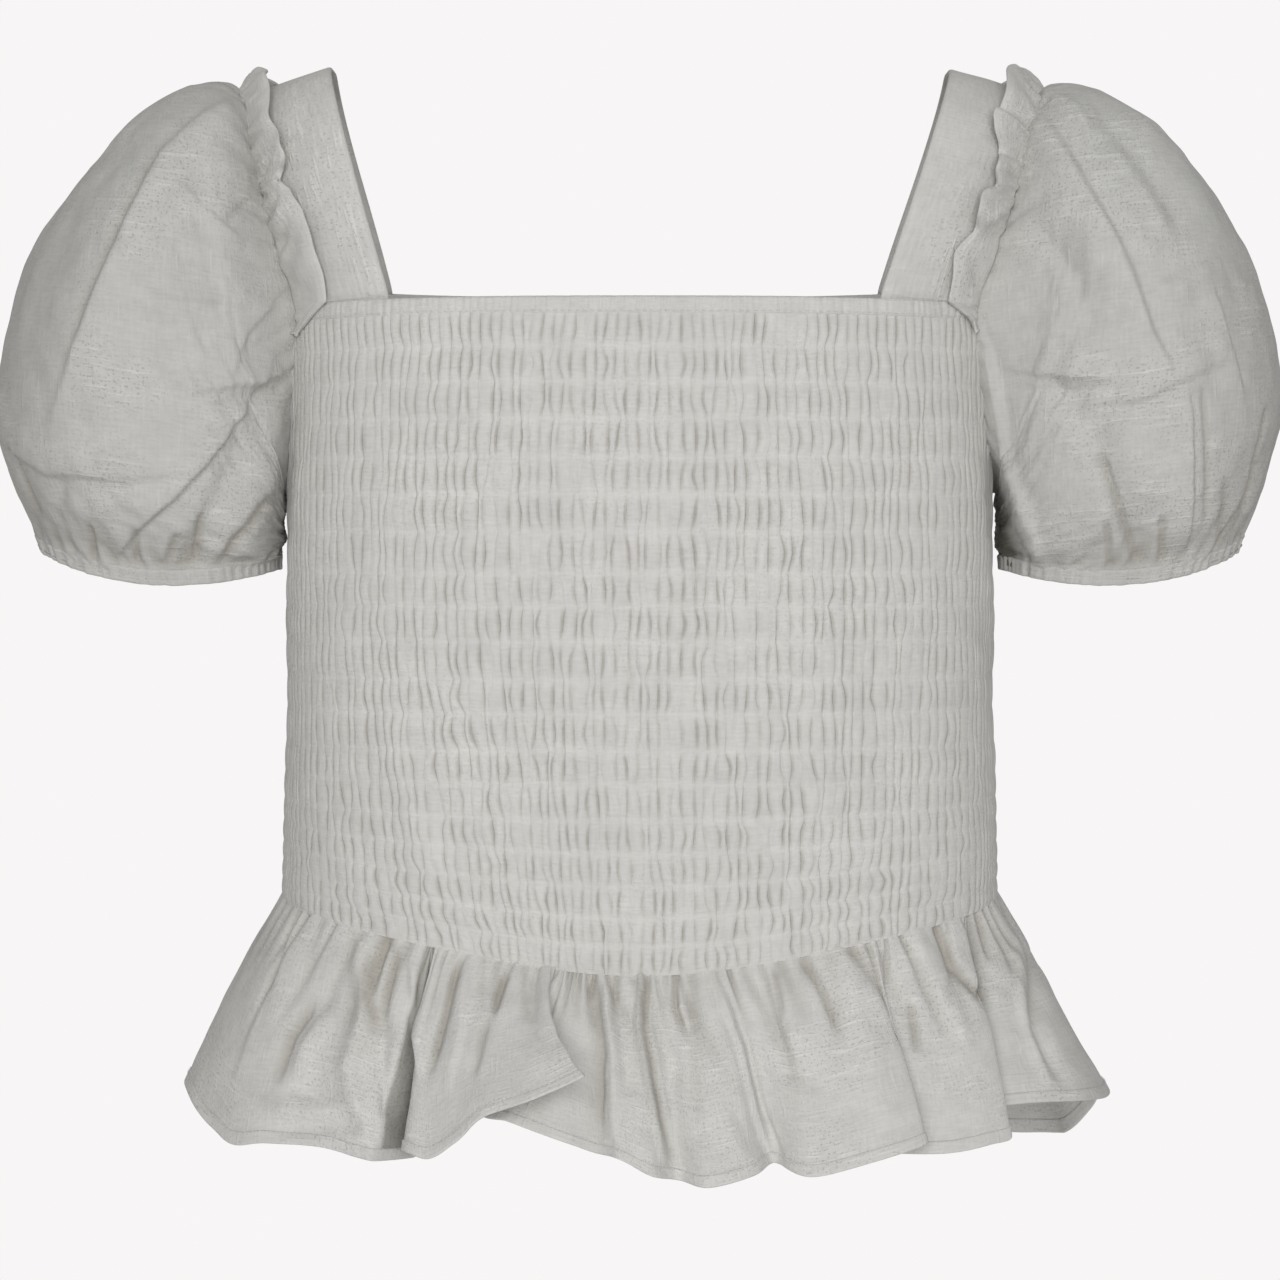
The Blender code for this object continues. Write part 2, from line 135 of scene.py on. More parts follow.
FrillStop = namedtuple("FrillStop", "lean reach lift")
FRILL_OVER_BACK = table(FrillStop, 1, [
    (14, 15, 6.4), (24, 14, 7.6), (38, 18.5, 3.6), (46, 11.5, 5.6), (52, 16, 7), (64, 20, 3.4),
    (71, 13, 3.2), (80, 20.5, 2.8), (95, 13, 1.8), (104, 2, 1),
])
FRILL = {
    "right": table(FrillStop, 1, [
        (-103, 1.6, 1), (-97, 9.5, 1.6), (-88, 22, 2), (-80, 23.8, 2.2), (-73, 22.6, 2.6),
        (-66.5, 18.8, 3), (-62, 14.6, 2), (-58, 22.2, 6.2), (-53, 22.2, 7.4), (-44, 17.6, 4.8),
        (-34, 16.8, 5), (-24, 16.8, 5.8), (-14, 15, 7), (-5, 12.5, 8.2), (4, 11.5, 7.8),
    ]) + FRILL_OVER_BACK,
    "left": table(FrillStop, 1, [
        (-102, 1.4, 1), (-97, 5.5, 1.4), (-90, 16.5, 2), (-83, 21.6, 2.4), (-77, 15.6, 2),
        (-73, 22.6, 6.6), (-68, 21.4, 6), (-65, 12.5, 2.2), (-61, 18.2, 6), (-57.5, 16.6, 4.8),
        (-54, 13.6, 2.2), (-49, 21.2, 6), (-44, 24, 6.8), (-40, 18, 2.6), (-32, 19, 6.2),
        (-20, 18.8, 6.8), (-10, 14.8, 8), (-1, 11.8, 8.4), (7, 12.2, 7.8),
    ]) + FRILL_OVER_BACK,
}
FRILL_BASE_INSET = 0.0004
FRILL_BASE_LIFT = 0.0019
FRILL_TAIL = 0.0120
FRILL_TAIL_LEAN = 14
FRILL_TOP_SPREAD = 14
# These only scale the frill's gathers, and are not its length and width.
FRILL_GATHER_SCALE = 0.26
FRILL_GATHER_REACH = 0.020
NORMAL_STEP = 3.0
BACK_STRAP_SHIFT = 0.0030
STRAP_TOP_WIDTH = 0.036
SIDES = ("left", "right")

PeplumFold = namedtuple("PeplumFold", "seam hem out height")
PEPLUM_FRONT = table(PeplumFold, 2, [
    (0, 0, 40, -376), (9, 10, 40, -375), (17, 20, 36, -372), (22, 29, 26, -370), (25, 38, 14, -372),
    (28, 35, 34, -378), (33, 39, 36, -380), (39, 45, 32, -382), (43, 55, 26, -380), (46, 50, 42, -376),
    (54, 58, 44, -381), (62, 66, 42, -385), (69, 68, 26, -383), (74, 73, 37, -385), (81, 80, 41, -388),
    (85, 84, 32, -387), (90, 88, 40, -384), (96, 93, 38, -379), (100, 97, 31, -378),
    (103, 103, 34, -373), (105, 111, 30, -368), (107, 115, 26, -366), (109, 98, 46, -350),
    (113, 105, 46, -358), (118, 112, 44, -365), (123, 116, 43, -374), (128, 120, 41, -380),
    (130.4, 125, 34, -379), (131.2, 130, 12, -385), (132, 129, 34, -383), (138.5, 131, 36, -382),
    (146, 137, 34, -380), (151, 144, 38, -380), (157, 149, 40, -382), (162, 155, 38, -378),
    (170, 167, 36, -371), (180, 180, 37, -373),
])
PEPLUM_BACK = table(PeplumFold, 2, [
    (180, 180, 37, -373), (189, 188, 38, -384), (197, 198, 31, -391), (204, 208, 37, -394),
    (210, 213, 26, -393), (215, 209, 39, -391), (223, 219, 41, -392), (231, 229, 32, -394),
    (238, 238, 40, -397), (246, 247, 36, -399), (252, 255, 24, -398), (256, 250, 41, -396),
    (263, 260, 42, -397), (271, 269, 30, -398), (278, 277, 40, -399), (286, 287, 37, -399),
    (292, 291, 27, -397), (299, 298, 40, -395), (307, 309, 36, -394), (313, 316, 24, -396),
    (317, 311, 40, -395), (325, 321, 41, -398), (333, 331, 30, -406), (341, 341, 37, -404),
    (349, 350, 35, -398), (356, 356, 39, -386), (360, 360, 40, -376),
])
OPEN_FOLD = 28
PEPLUM_SWING = 1.4
PEPLUM_FLARE = 0.95
PEPLUM_TUCK = 0.0021
PEPLUM_TUCK_IN = 0.0009
SIDE_OVERLAP = 0.0022
PEPLUM_HEM_WIDTH = 0.0040
# These only scale the gathers and the hem; the seam is a little longer, and the depth varies.
PEPLUM_GATHER_SCALE = 0.365
PEPLUM_GATHER_REACH = 0.070
PEPLUM_HEM_SCALE = 0.072
PEPLUM_STITCHES_UP = 0.9

# ---- shirring: heights of the stitched rows at the middle of the front, and how the gathers vary ---
SHIRRING_ROWS = np.array([
    -0.0907, -0.1032, -0.1157, -0.1286, -0.1421, -0.1550, -0.1682, -0.1828, -0.1943, -0.2065,
    -0.2200, -0.2319, -0.2447, -0.2562, -0.2691, -0.2806, -0.2920, -0.3028, -0.3126, -0.3226,
])
LAST_LEVEL_ROW = 13
GATHERS = 100
SIDE_GATHERS = 13
STEPS_PER_GATHER = 6
STEPS_PER_CELL = 6
GATHER_PHASES = (0.0, 0.08, 0.20, 0.5, 0.80, 0.92)
SLIT_HALF_WIDTH = 0.09
TURN_SAMPLES = 721
NECK_STITCHES_DOWN = 0.80
NECK_LINE_POINTS, ARMHOLE_LINE_POINTS, HEM_LINE_POINTS = 300, 700, 900

# ---- flat sizes of the cloth: judged, and not worked out from the forms ------------------------
PANEL_CUT = (0.57, 0.245)
CASING_CUT = (0.30, 0.026)
STRAP_CUT = (0.30, 0.075)
FRILL_CUT = (0.34, 0.042)
SLEEVE_CUT = (0.43, 0.200)
SLEEVE_HEM_CUT = (0.30, 0.024)
PEPLUM_CUT = (0.62, 0.085)
PEPLUM_HEM_CUT = (0.62, 0.010)

# ---- creases ----------------------------------------------------------------------------------
SLEEVE_CREASES = {
    "right": creases([
        (2.4, 2.1, 12, 147, -10, 158, -21, 170, -34, 178, -52, 187, -75, 193, -88, 200, -110, 209, -130),
        (3.4, 13, 20, 147, -10, 170, -34, 178, -52, 193, -88, 211, -134),
        (-1.2, 3, 1, 172, -32, 180, -52, 190, -76, 203, -110),
        (-1.6, 8, 8, 192, -26, 208, -56, 220, -94), (1.2, 5, 5, 200, -36, 217, -70, 226, -110),
        (1.3, 0.9, 9, 173, -82, 162, -85, 150, -86, 132, -88), (1, 4, 0.8, 164, -46, 156, -53, 142, -65),
        (-0.8, 1.4, 1.4, 148, -56, 141, -47), (-1, 5, 5, 172, -58, 164, -70, 152, -76),
        (1.6, 11, 1.2, 134, -86, 142, -96, 149, -114),
        (2.6, 1, 7.5, 152, -117, 146, -115, 139, -114, 130, -109),
        (-2.6, 5, 2, 148, -121, 140, -119, 132, -114),
        (3, 12, 0.9, 141, -119, 150, -135, 158, -146, 166, -155, 179, -166, 190, -178),
        (2.2, 1.6, 11, 230, -136, 211, -146, 184, -148.5, 158, -145),
        (-2.2, 1.2, 1.2, 228, -138, 224, -150, 219, -163),
        (-2.4, 4, 6, 141, -130, 147, -146, 154, -162, 163, -180),
        (2.6, 6, 3, 134, -120, 138, -142, 143, -170), (-2.2, 1.6, 1.6, 139, -155, 145, -168, 153, -181),
        (-1.8, 1.5, 1.5, 156, -162, 161, -181), (-1.6, 1.4, 1.4, 166, -170, 172, -182),
        (-2, 1.4, 1.4, 198, -166, 198, -180), (-1.7, 1.4, 1.4, 181, -167, 182, -182),
        (-1.3, 3, 3, 206, -149, 213, -168), (1, 4, 4, 176, -157, 198, -160, 214, -156),
    ]),
    "left": creases([
        (2.3, 1.6, 10, 146, -15, 151, -28, 157, -41, 166, -59, 174, -77, 180, -97, 187, -112),
        (2.8, 12, 16, 146, -15, 157, -41, 174, -77, 187, -116),
        (-1.3, 5, 1, 148, -13, 168, -58, 182, -97, 189, -111),
        (1.6, 3, 1.4, 150, -6, 158, -14, 163, -28), (-2.2, 6, 5, 168, -13, 180, -35, 194, -62),
        (1.4, 6, 5, 180, -14, 198, -40, 210, -66), (1.2, 4, 4, 172, -30, 184, -52, 188, -66),
        (1.6, 1, 10, 183, -82, 193, -77, 207, -69), (-1.8, 3.5, 3.5, 144, -60, 155, -77, 160, -99),
        (1.2, 3.5, 5, 150, -48, 161, -66, 166, -86), (2.4, 8.5, 0.9, 142, -111, 152, -113, 168, -113.5),
        (-2.2, 1.6, 5, 145, -116.5, 154, -118, 170, -116.5),
        (2.4, 11, 1.2, 169, -122, 178, -120.5, 187, -116, 211, -105),
        (2.4, 0.9, 4.5, 195, -124, 196, -150, 197, -176),
        (-1.3, 1.4, 1.4, 200, -118, 202, -138, 203, -168), (2, 0.9, 6, 206, -86, 211, -104, 216, -120),
        (-2.4, 1.2, 1.2, 227, -124, 223, -142, 220, -162),
        (-3.4, 7, 3.5, 150, -120, 160, -134, 168, -153, 182, -183),
        (-1.8, 1.4, 1.4, 163, -141, 169, -156, 180, -182),
        (3.4, 1.2, 8, 126, -100, 133, -126, 139, -150, 147, -180),
        (-4, 4, 5, 131, -140, 134, -152, 137, -168, 142, -186), (-1.6, 1.4, 1.4, 167, -166, 170, -182),
        (-1.8, 1.4, 1.4, 187, -164, 189, -180), (-1.2, 2, 2, 210, -150, 211, -174),
    ]),
}
# Painted shade for the dark hollow of each sleeve beside the body; each lift is a share of the full shade.
SLEEVE_HOLLOW_SHADES = {
    "right": Crease(0.4, 0.0012, 0.0014, [(0.1310, -0.128), (0.1320, -0.160), (0.1330, -0.186)]),
    "left": Crease(1.0, 0.0024, 0.0036, [(0.1300, -0.140), (0.1335, -0.160), (0.1380, -0.190)]),
}
SLEEVE_BACK_CREASES = creases([
    (2.6, 1.4, 12, 150, -14, 172, -40, 190, -82, 202, -124), (-1.8, 6, 6, 176, -22, 198, -58, 210, -96),
    (1.4, 1, 8, 180, -86, 160, -88, 138, -80), (2.6, 11, 1.2, 142, -118, 156, -140, 182, -172),
    (1.8, 1.4, 10, 226, -128, 204, -142, 178, -140), (-1.8, 1.6, 1.6, 200, -150, 202, -180),
    (-1.8, 1.5, 1.5, 214, -136, 215, -166), (-2, 1.6, 1.6, 156, -158, 162, -182),
    (-3.6, 6, 6, 136, -130, 142, -152, 150, -180),
])
PEPLUM_FRONT_CREASES = creases([
    (-2.4, 1.4, 3, -116, -336, -122, -345, -127, -361), (2.2, 4, 2, -111, -338, -117, -348, -121, -361),
    (1.4, 6, 2, -123, -312, -132, -334, -143, -366),
    (3.4, 2.4, 4.5, -98, -316, -96, -335, -100, -354, -93, -378),
    (-2.2, 1.6, 1.4, -90, -311, -95, -330, -92, -342), (-3.4, 4, 3, -91, -336, -90, -352, -86, -370),
    (-2, 1.4, 1.6, -86, -314, -90, -337), (2, 3, 1.2, -80, -318, -78, -336, -76, -356),
    (-2.8, 2, 1.2, -64, -319, -67, -333, -73, -354), (1.8, 1.2, 4, -60, -321, -61, -338, -66, -358),
    (-1.6, 1.6, 1.6, -53, -336, -57, -353), (-2.2, 1.4, 1.6, -47, -321, -51, -334),
    (-1.8, 4, 4, -99, -370, -112, -363, -123, -360), (-1.8, 3, 3, -94, -371, -111, -374, -130, -375),
    (1.8, 4, 1.4, -127, -370, -112, -369, -98, -366), (-2, 3, 2, -37, -320, -37, -336),
    (-2, 1.4, 3, -16, -322, -13, -347, -14, -374), (1.6, 3, 1.4, -12, -326, -9, -348, -9, -372),
    (-2.8, 4, 3, -8, -330, -5, -347, -3, -360), (3, 4, 0.9, 0, -322, -1, -338, 4, -366, 9, -382),
    (-2.4, 0.9, 3, 3, -322, 2, -338, 7, -366, 12, -382), (-2.2, 1.4, 1.4, 12, -320, 12, -333, 16, -342),
    (2.6, 4, 0.9, 25, -321, 34, -344, 39, -365, 46, -383),
    (-2.6, 0.9, 4, 28, -321, 37, -344, 42, -365, 49, -383), (-2.6, 3, 3, 41, -323, 46, -338, 52, -356),
    (-2, 1.3, 1.3, 47, -320, 49, -335), (-2.2, 1.5, 1.5, 58, -318, 64, -328, 69, -341),
    (1.8, 6, 4, 70, -320, 78, -344, 82, -372), (-1.4, 3, 3, 17, -360, 21, -376),
    (-1.4, 3, 3, 32, -364, 40, -379), (-2.8, 1.4, 2.2, 106, -307, 111, -320, 125, -336),
    (1.6, 5, 1.4, 98, -313, 104, -328, 116, -350), (-2, 1.4, 1.4, 95, -333, 97, -349),
    (-2, 1.4, 1.4, 122, -305, 126, -322), (-3, 3, 3, 145, -326, 143, -345, 152, -366),
    (2, 3, 1.4, 136, -318, 137, -340, 145, -366),
])
PEPLUM_BACK_CREASES = creases([
    (-2.6, 2, 3, -92, -316, -98, -345, -96, -378), (2.4, 1.2, 5, -112, -312, -124, -340, -132, -376),
    (-2.4, 1.5, 2, -60, -320, -66, -354), (2.2, 4, 1.2, -44, -322, -46, -350, -42, -384),
    (-2.4, 1.6, 2, -24, -322, -20, -366), (-2.6, 1.4, 3, 10, -322, 8, -352, 14, -392),
    (2.2, 4, 1.2, 30, -322, 34, -352, 30, -388), (-2.2, 1.5, 1.5, 46, -320, 54, -356),
    (-2.6, 1.8, 3, 84, -316, 90, -350, 86, -384), (1.8, 4, 2, -120, -366, -100, -362, -76, -368),
    (1.8, 2, 4, 24, -370, 48, -362, 74, -364),
])
BODICE_FOLDS = {
    1: creases([
        (-1.6, 1.5, 1.5, -8, -168, -6, -205, -3, -226, 1, -248),
        (1.2, 5, 5, -90, -226, -82, -262, -74, -296), (0.8, 8, 8, -40, -120, -44, -170, -50, -220),
        (0.8, 8, 8, 60, -140, 66, -200, 62, -270),
    ]),
    -1: creases([
        (-1.6, 1.5, 1.5, 22, -165, 24, -205, 20, -240), (1.2, 6, 6, -60, -130, -66, -200, -52, -280),
        (1, 8, 8, 70, -150, 60, -230),
    ]),
}

CAMERA_PLACE = (0, -1.2, -0.171)
CAMERA_SHIFT = -0.078125
FLOOR_DROP = 0.30

CREASE_SHADE = "crease_shade"
ROW_SHADE = "row_shade"
DEEP_SHADE = "deep_shade"
CLOTH_UV = "cloth"


# ---- arithmetic on arrays ---------------------------------------------------------------------
def mix(low, high, share):
    return low + (high - low) * share


def ease(share):
    share = np.clip(share, 0.0, 1.0)
    return share * share * (3 - 2 * share)


def bell(distance, width):
    return np.exp(-((distance / width) ** 2))


def run_lengths(points):
    """The way along close points, from the first to each."""
    return np.concatenate([[0], np.cumsum(np.linalg.norm(np.diff(points, axis=0), axis=1))])


def points_along(path, along, places):
    """Points at places along a path of close points."""
    return np.stack([np.interp(places, along, path[:, axis]) for axis in range(3)], axis=-1)


def smooth_rows(rows, position):
    """A table's rows at whole or part indices, on smooth curves through their neighbours.

    Rows hold either one set of columns each, or one point for each place in position.
    """
    rows = np.asarray(rows, float)
    last = len(rows) - 1
    first = np.clip(position.astype(int), 0, last - 1)
    share = (position - first)[:, None]
    weights = (
        (-share + 2 * share**2 - share**3) / 2,
        (2 - 5 * share**2 + 3 * share**3) / 2,
        (share + 4 * share**2 - 3 * share**3) / 2,
        (share**3 - share**2) / 2,
    )
    total = 0
    for offset, weight in enumerate(weights):
        index = np.clip(first + offset - 1, 0, last)
        total = total + weight * (rows[index] if rows.ndim == 2 else rows[index, np.arange(len(index))])
    return total


def undulation(across, down, cells_across, cells_down, seed):
    """Soft random swelling from -1 to 1, with the given number of swells each way."""
    dice = np.random.default_rng(seed)
    knots = dice.uniform(-1, 1, (cells_down + 2, cells_across + 2))
    x, y = np.clip(across, 0, 1) * cells_across, np.clip(down, 0, 1) * cells_down
    i, j = x.astype(int), y.astype(int)
    u, v = ease(x - i), ease(y - j)
    return mix(mix(knots[j, i], knots[j, i + 1], u), mix(knots[j + 1, i], knots[j + 1, i + 1], u), v)


def crease_lift(creases, points):
    """How far the creases raise a surface, from where its points lie in the front view.

    Each is nearly full where it begins, and fades over the last third of its run.
    """
    lift = np.zeros(len(points))
    here = points[:, [0, 2]]
    for crease in creases:
        ends = np.array(crease.points)
        runs = np.diff(ends, axis=0)
        lengths = np.linalg.norm(runs, axis=1)
        begun = np.concatenate([[0], np.cumsum(lengths)])
        nearest = np.full(len(here), np.inf)
        reached, on_left = np.zeros(len(here)), np.zeros(len(here), bool)
        for start, run, length, before in zip(ends, runs, lengths, begun):
            off = here - start
            share = np.clip(off @ run / length**2, 0, 1)
            distance = np.linalg.norm(off - share[:, None] * run, axis=1)
            closer = distance < nearest
            nearest = np.where(closer, distance, nearest)
            reached = np.where(closer, (before + share * length) / begun[-1], reached)
            on_left = np.where(closer, run[0] * off[:, 1] - run[1] * off[:, 0] > 0, on_left)
        fade = np.sqrt(np.clip(np.minimum(0.25 + 8 * reached, 3.5 * (1 - reached)), 0.02, 1))
        fades_over = np.where(on_left, crease.left, crease.right)
        lift += crease.lift * fade * bell(nearest, fades_over)
    return lift


def narrow(creases):
    """The sunk creases thin enough to hold a shadow along their whole length."""
    return [crease for crease in creases if crease.lift < 0 and crease.left + crease.right < 0.0045]


# ---- the forms --------------------------------------------------------------------------------
def body_sizes(height):
    falling = [-section.height for section in BODY]
    return [np.interp(-height, falling, [section[column] for section in BODY]) for column in (1, 2, 3)]


def body_surface(turn, height, out=0.0):
    """Points of the body's surface at turns in radians: 0 at the left side, a quarter at the front."""
    half_width, front, back = body_sizes(height)
    across, forward = np.cos(turn), np.sin(turn)
    depth = np.where(forward >= 0, front, back)
    reach = np.abs(across / half_width) ** BODY_SQUARENESS + np.abs(forward / depth) ** BODY_SQUARENESS
    reach = reach ** (-1 / BODY_SQUARENESS) + out
    return np.stack([reach * across, -reach * forward, height + 0 * turn], axis=1)


def body_depth(x, height, facing):
    half_width, front, back = body_sizes(height)
    depth = front if facing > 0 else back
    return depth * (1 - (np.abs(x) / half_width) ** BODY_SQUARENESS) ** (1 / BODY_SQUARENESS)


def strap_turn(side, facing):
    """The turn from the side at which a strap's outer edge meets the neck edge."""
    outer = STRAPS[side][OUTER][0 if facing > 0 else 1]
    return math.atan2(body_depth(outer, NECK_HEIGHT[facing], facing), outer)


def armhole_height(turn, side, facing):
    top = NECK_HEIGHT[facing] - CASING_HEIGHT - SEAM_GAP
    return mix(UNDERARM_HEIGHT, top, np.clip(turn / strap_turn(side, facing), 0, 1) ** ARMHOLE_HOLLOW)


def seam_height(turn):
    dip = np.where(np.sin(turn) >= 0, SEAM_DIP[1], SEAM_DIP[-1])
    return SEAM_HEIGHT_AT_SIDES - dip * (1 - np.cos(turn) ** 2)


def sides_across(facing):
    return ("left", "right") if facing > 0 else ("right", "left")


def around_body(turn, facing):
    return turn if facing > 0 else turn + math.pi


def strap_surface(side, across, lean):
    """Points of a strap, as on the left, which past its feet runs on down the body.

    across runs from its inner edge to its outer one, and lean from -90 in front to 90 behind.
    """
    inner, outer = STRAPS[side]
    front_foot, back_foot, top_x, top_height = [mix(a, b, across) for a, b in zip(inner, outer)]
    forward = lean < 0
    foot = np.where(forward, front_foot, back_foot)
    foot_height = np.where(forward, NECK_HEIGHT[1], NECK_HEIGHT[-1]) + SEAM_GAP
    below = np.clip(np.abs(lean) - 90, 0, None)
    foot_height = foot_height - FRILL_TAIL * below / FRILL_TAIL_LEAN
    tilt = np.radians(np.minimum(np.abs(lean), 90))
    out, risen = np.sin(tilt) ** (2 / STRAP_SQUARENESS), np.cos(tilt).clip(0) ** (2 / STRAP_SQUARENESS)
    risen = np.where(below > 0, 0, risen)
    depth = np.where(forward, -body_depth(foot, foot_height, 1), body_depth(foot, foot_height, -1))
    return np.stack([mix(foot, top_x, risen), out * depth, mix(foot_height, top_height, risen)], axis=1)


def strap_out(side, across, lean):
    """The way out of a strap's face."""
    along = strap_surface(side, across, lean + NORMAL_STEP) - strap_surface(side, across, lean - NORMAL_STEP)
    sideways = strap_surface(side, across * 0 + 1, lean) - strap_surface(side, across * 0, lean)
    normal = np.cross(sideways, along)
    return normal / np.linalg.norm(normal, axis=1)[:, None]


def section_surface(section, around):
    """Points of a sleeve section: around runs 0 outside, a quarter in front, a half inside, three behind."""
    outward, forward = np.cos(around), np.sin(around)
    reach = np.abs(outward) ** SLEEVE_ROUNDNESS + np.abs(forward) ** SLEEVE_ROUNDNESS
    reach = reach ** (-1 / SLEEVE_ROUNDNESS)
    drop = np.where(forward > 0, section.front_drop, section.back_drop)
    x = mix(section.inner_x, section.outer_x, 0.5 + 0.5 * reach * outward)
    z = mix(section.inner_z, section.outer_z, 0.5 + 0.5 * reach * outward) - drop * forward * forward
    return np.stack([x, -section.depth * reach * forward, z], axis=1)


def armhole_path(side, facing):
    """The armhole from the shoulder down to the underarm, at the front or the back, as close points."""
    steps = np.linspace(0, 1, ARMHOLE_STEPS + 1)
    over = strap_surface(side, np.ones_like(steps), -facing * np.maximum(90 * steps, 0.01))
    turn = strap_turn(side, facing) * (1 - steps)
    return np.concatenate([over, body_surface(facing * turn, armhole_height(turn, side, facing))])


def armhole_surface(side, around):
    share = np.mod(around / math.pi, 2.0)
    points = []
    for facing, portion in ((1, np.minimum(share, 1)), (-1, np.minimum(2 - share, 1))):
        path = armhole_path(side, facing)
        along = run_lengths(path)
        points.append(points_along(path, along, portion * along[-1]))
    return np.where((share <= 1)[:, None], points[0], points[1])


def sleeve_surface(side, across, down):
    around = 2 * math.pi * np.mod(across, 1.0)
    rings = [armhole_surface(side, around) + np.array([-0.0006, 0, 0])]
    rings += [section_surface(section, around) for section in SLEEVE]
    tuck = mix(np.array(SLEEVE[-1]), np.array(SLEEVE_HEM), 0.6)
    rings.append(section_surface(SleeveSection(*tuck), around))
    last = len(rings) - 1
    return smooth_rows(np.stack(rings), np.interp(down, (0, SLEEVE_HEM_DOWN, 1), (0, last - 1, last)))


def peplum_surface(folds, across, down):
    seam, hem, out, height = smooth_rows(folds, np.clip(across, 0, 1) * (len(folds) - 1)).T
    widened = SIDE_OVERLAP * np.sign(folds[-1].seam - folds[0].seam) * (2 * np.clip(across, 0, 1) - 1) ** 9
    seam, hem = np.radians(seam) + widened, np.radians(hem) + widened
    down = np.clip(down, 0, 1)
    top = seam_height(seam) + PEPLUM_TUCK
    flare = mix(-PEPLUM_TUCK_IN, out, down**PEPLUM_FLARE)
    points = body_surface(mix(seam, hem, down**PEPLUM_SWING), np.full_like(seam, BODY[-1].height), flare)
    points[:, 2] = mix(top, height, down)
    return points


# ---- making sheets and bands ------------------------------------------------------------------
def surface_normals(place, across, down, reach=0.0015, rolled=False):
    """The way out of a surface at each place, from its neighbours."""
    left, right = (across - reach, across + reach)
    if not rolled:
        left, right = np.clip(left, 0, 1), np.clip(right, 0, 1)
    along = place(right, down) - place(left, down)
    falling = place(across, np.clip(down + reach, 0, 1)) - place(across, np.clip(down - reach, 0, 1))
    normal = np.cross(along, falling)
    return normal / np.maximum(np.linalg.norm(normal, axis=1), 1e-12)[:, None]


def linked(name, data):
    """An object of the data, in the scene."""
    made = bpy.data.objects.new(name, data)
    bpy.context.scene.collection.objects.link(made)
    return made


def made_object(name, shape):
    """An object from a bmesh, which is freed."""
    mesh = bpy.data.meshes.new(name)
    shape.to_mesh(mesh)
    shape.free()
    return linked(name, mesh)


def new_piece(name, columns, rows, carry, cut, rolled=False, mirrored=False, capped=False,
              shades=None, crowd=None, grain=None):
    """A grid carried by carry(across, down) onto its form, with its UV map in metres of the flat cloth.

    The threads run across and down the grid, or as grain gives their places from the points.
    """
    grid = bmesh.new()
    bmesh.ops.create_grid(grid, x_segments=columns, y_segments=rows, size=0.5)
    mesh = bpy.data.meshes.new(name)
    grid.to_mesh(mesh)
    flat = np.empty(len(mesh.vertices) * 3)
    mesh.vertices.foreach_get("co", flat)
    flat = flat.reshape(-1, 3)
    across, down = flat[:, 0] + 0.5, flat[:, 1] + 0.5
    if crowd:
        across = crowd(across)
    corners = np.empty(len(mesh.loops), np.int32)
    mesh.loops.foreach_get("vertex_index", corners)
    points = carry(across, down)
    cloth = grain(points) if grain else np.stack([across * cut[0], down * cut[1]], axis=1)
    mesh.uv_layers.new(name=CLOTH_UV).uv.foreach_set("vector", cloth[corners].ravel())
    if mirrored:
        points = points * np.array([-1, 1, 1])
    mesh.vertices.foreach_set("co", points.ravel())
    for shade, values in (shades(across, down) if shades else {}).items():
        attribute = mesh.attributes.new(shade, "FLOAT", "POINT")
        attribute.data.foreach_set("value", values.astype(np.float32))
    grid.clear()
    grid.from_mesh(mesh)
    if rolled:
        bmesh.ops.remove_doubles(grid, verts=grid.verts, dist=0.00001)
    if capped:
        bmesh.ops.holes_fill(grid, edges=[edge for edge in grid.edges if edge.is_boundary], sides=0)
    if mirrored:
        bmesh.ops.reverse_faces(grid, faces=grid.faces)
    grid.to_mesh(mesh)
    grid.free()
    mesh.shade_smooth()
    return linked(name, mesh)


def new_sheet(name, columns, rows, place, cut, relief, rolled=False, **options):
    """A single layer of cloth on a form, raised by relief(across, down, points) along its normals."""
    def carry(across, down):
        points = place(across, down)
        normals = surface_normals(place, across, down, rolled=rolled)
        return points + normals * relief(across, down, points)[:, None]

    return new_piece(name, columns, rows, carry, cut, rolled=rolled, **options)


# A band's section: share of the way round, share across the band, and which side of its middle it lies.
BandStop = namedtuple("BandStop", "round across side rounding")
BAND_SECTION = [BandStop(*row) for row in (
    (0, 0, 0, 0), (0.05, 0, 0.7, 0.3), (0.1, 0, 1, 1), (0.4, 1, 1, -1), (0.45, 1, 0.7, -0.3),
    (0.5, 1, 0, 0), (0.55, 1, -0.7, -0.3), (0.6, 1, -1, -1), (0.9, 0, -1, 1), (0.95, 0, -0.7, 0.3),
    (1, 0, 0, 0),
)]


def new_band(name, columns, place, width, thickness, cut, relief=None, rolled=False, rounds=20, **options):
    """A folded band of cloth with soft edges, about the middle face that place(along, across) gives."""
    stops = np.array(BAND_SECTION)
    edge = thickness / 2 / width

    def carry(along, turned):
        over = np.interp(turned, stops[:, 0], stops[:, 1] + stops[:, 3] * edge)
        side = np.interp(turned, stops[:, 0], stops[:, 2])
        points = place(along, over)
        lift = side * thickness / 2
        if relief is not None:
            lift = lift + relief(along, over, points)
        return points + surface_normals(place, along, over, rolled=rolled) * lift[:, None]

    return new_piece(name, columns, rounds, carry, cut, rolled=True, capped=not rolled, **options)


Gather = namedtuple("Gather", "place half_width depth length lean")


def random_gathers(count, seed, half_width, depth, length, lean=0.0):
    """Gathers at uneven places across a seam; each size is a pair, its least and its most."""
    dice = np.random.default_rng(seed)
    gaps = dice.uniform(0.5, 1.5, count)
    places = (np.cumsum(gaps) - gaps / 2) / gaps.sum()
    return [
        Gather(
            place, dice.uniform(*half_width), dice.uniform(*depth), dice.uniform(*length),
            dice.normal(0, 1) * lean,
        )
        for place in places
    ]


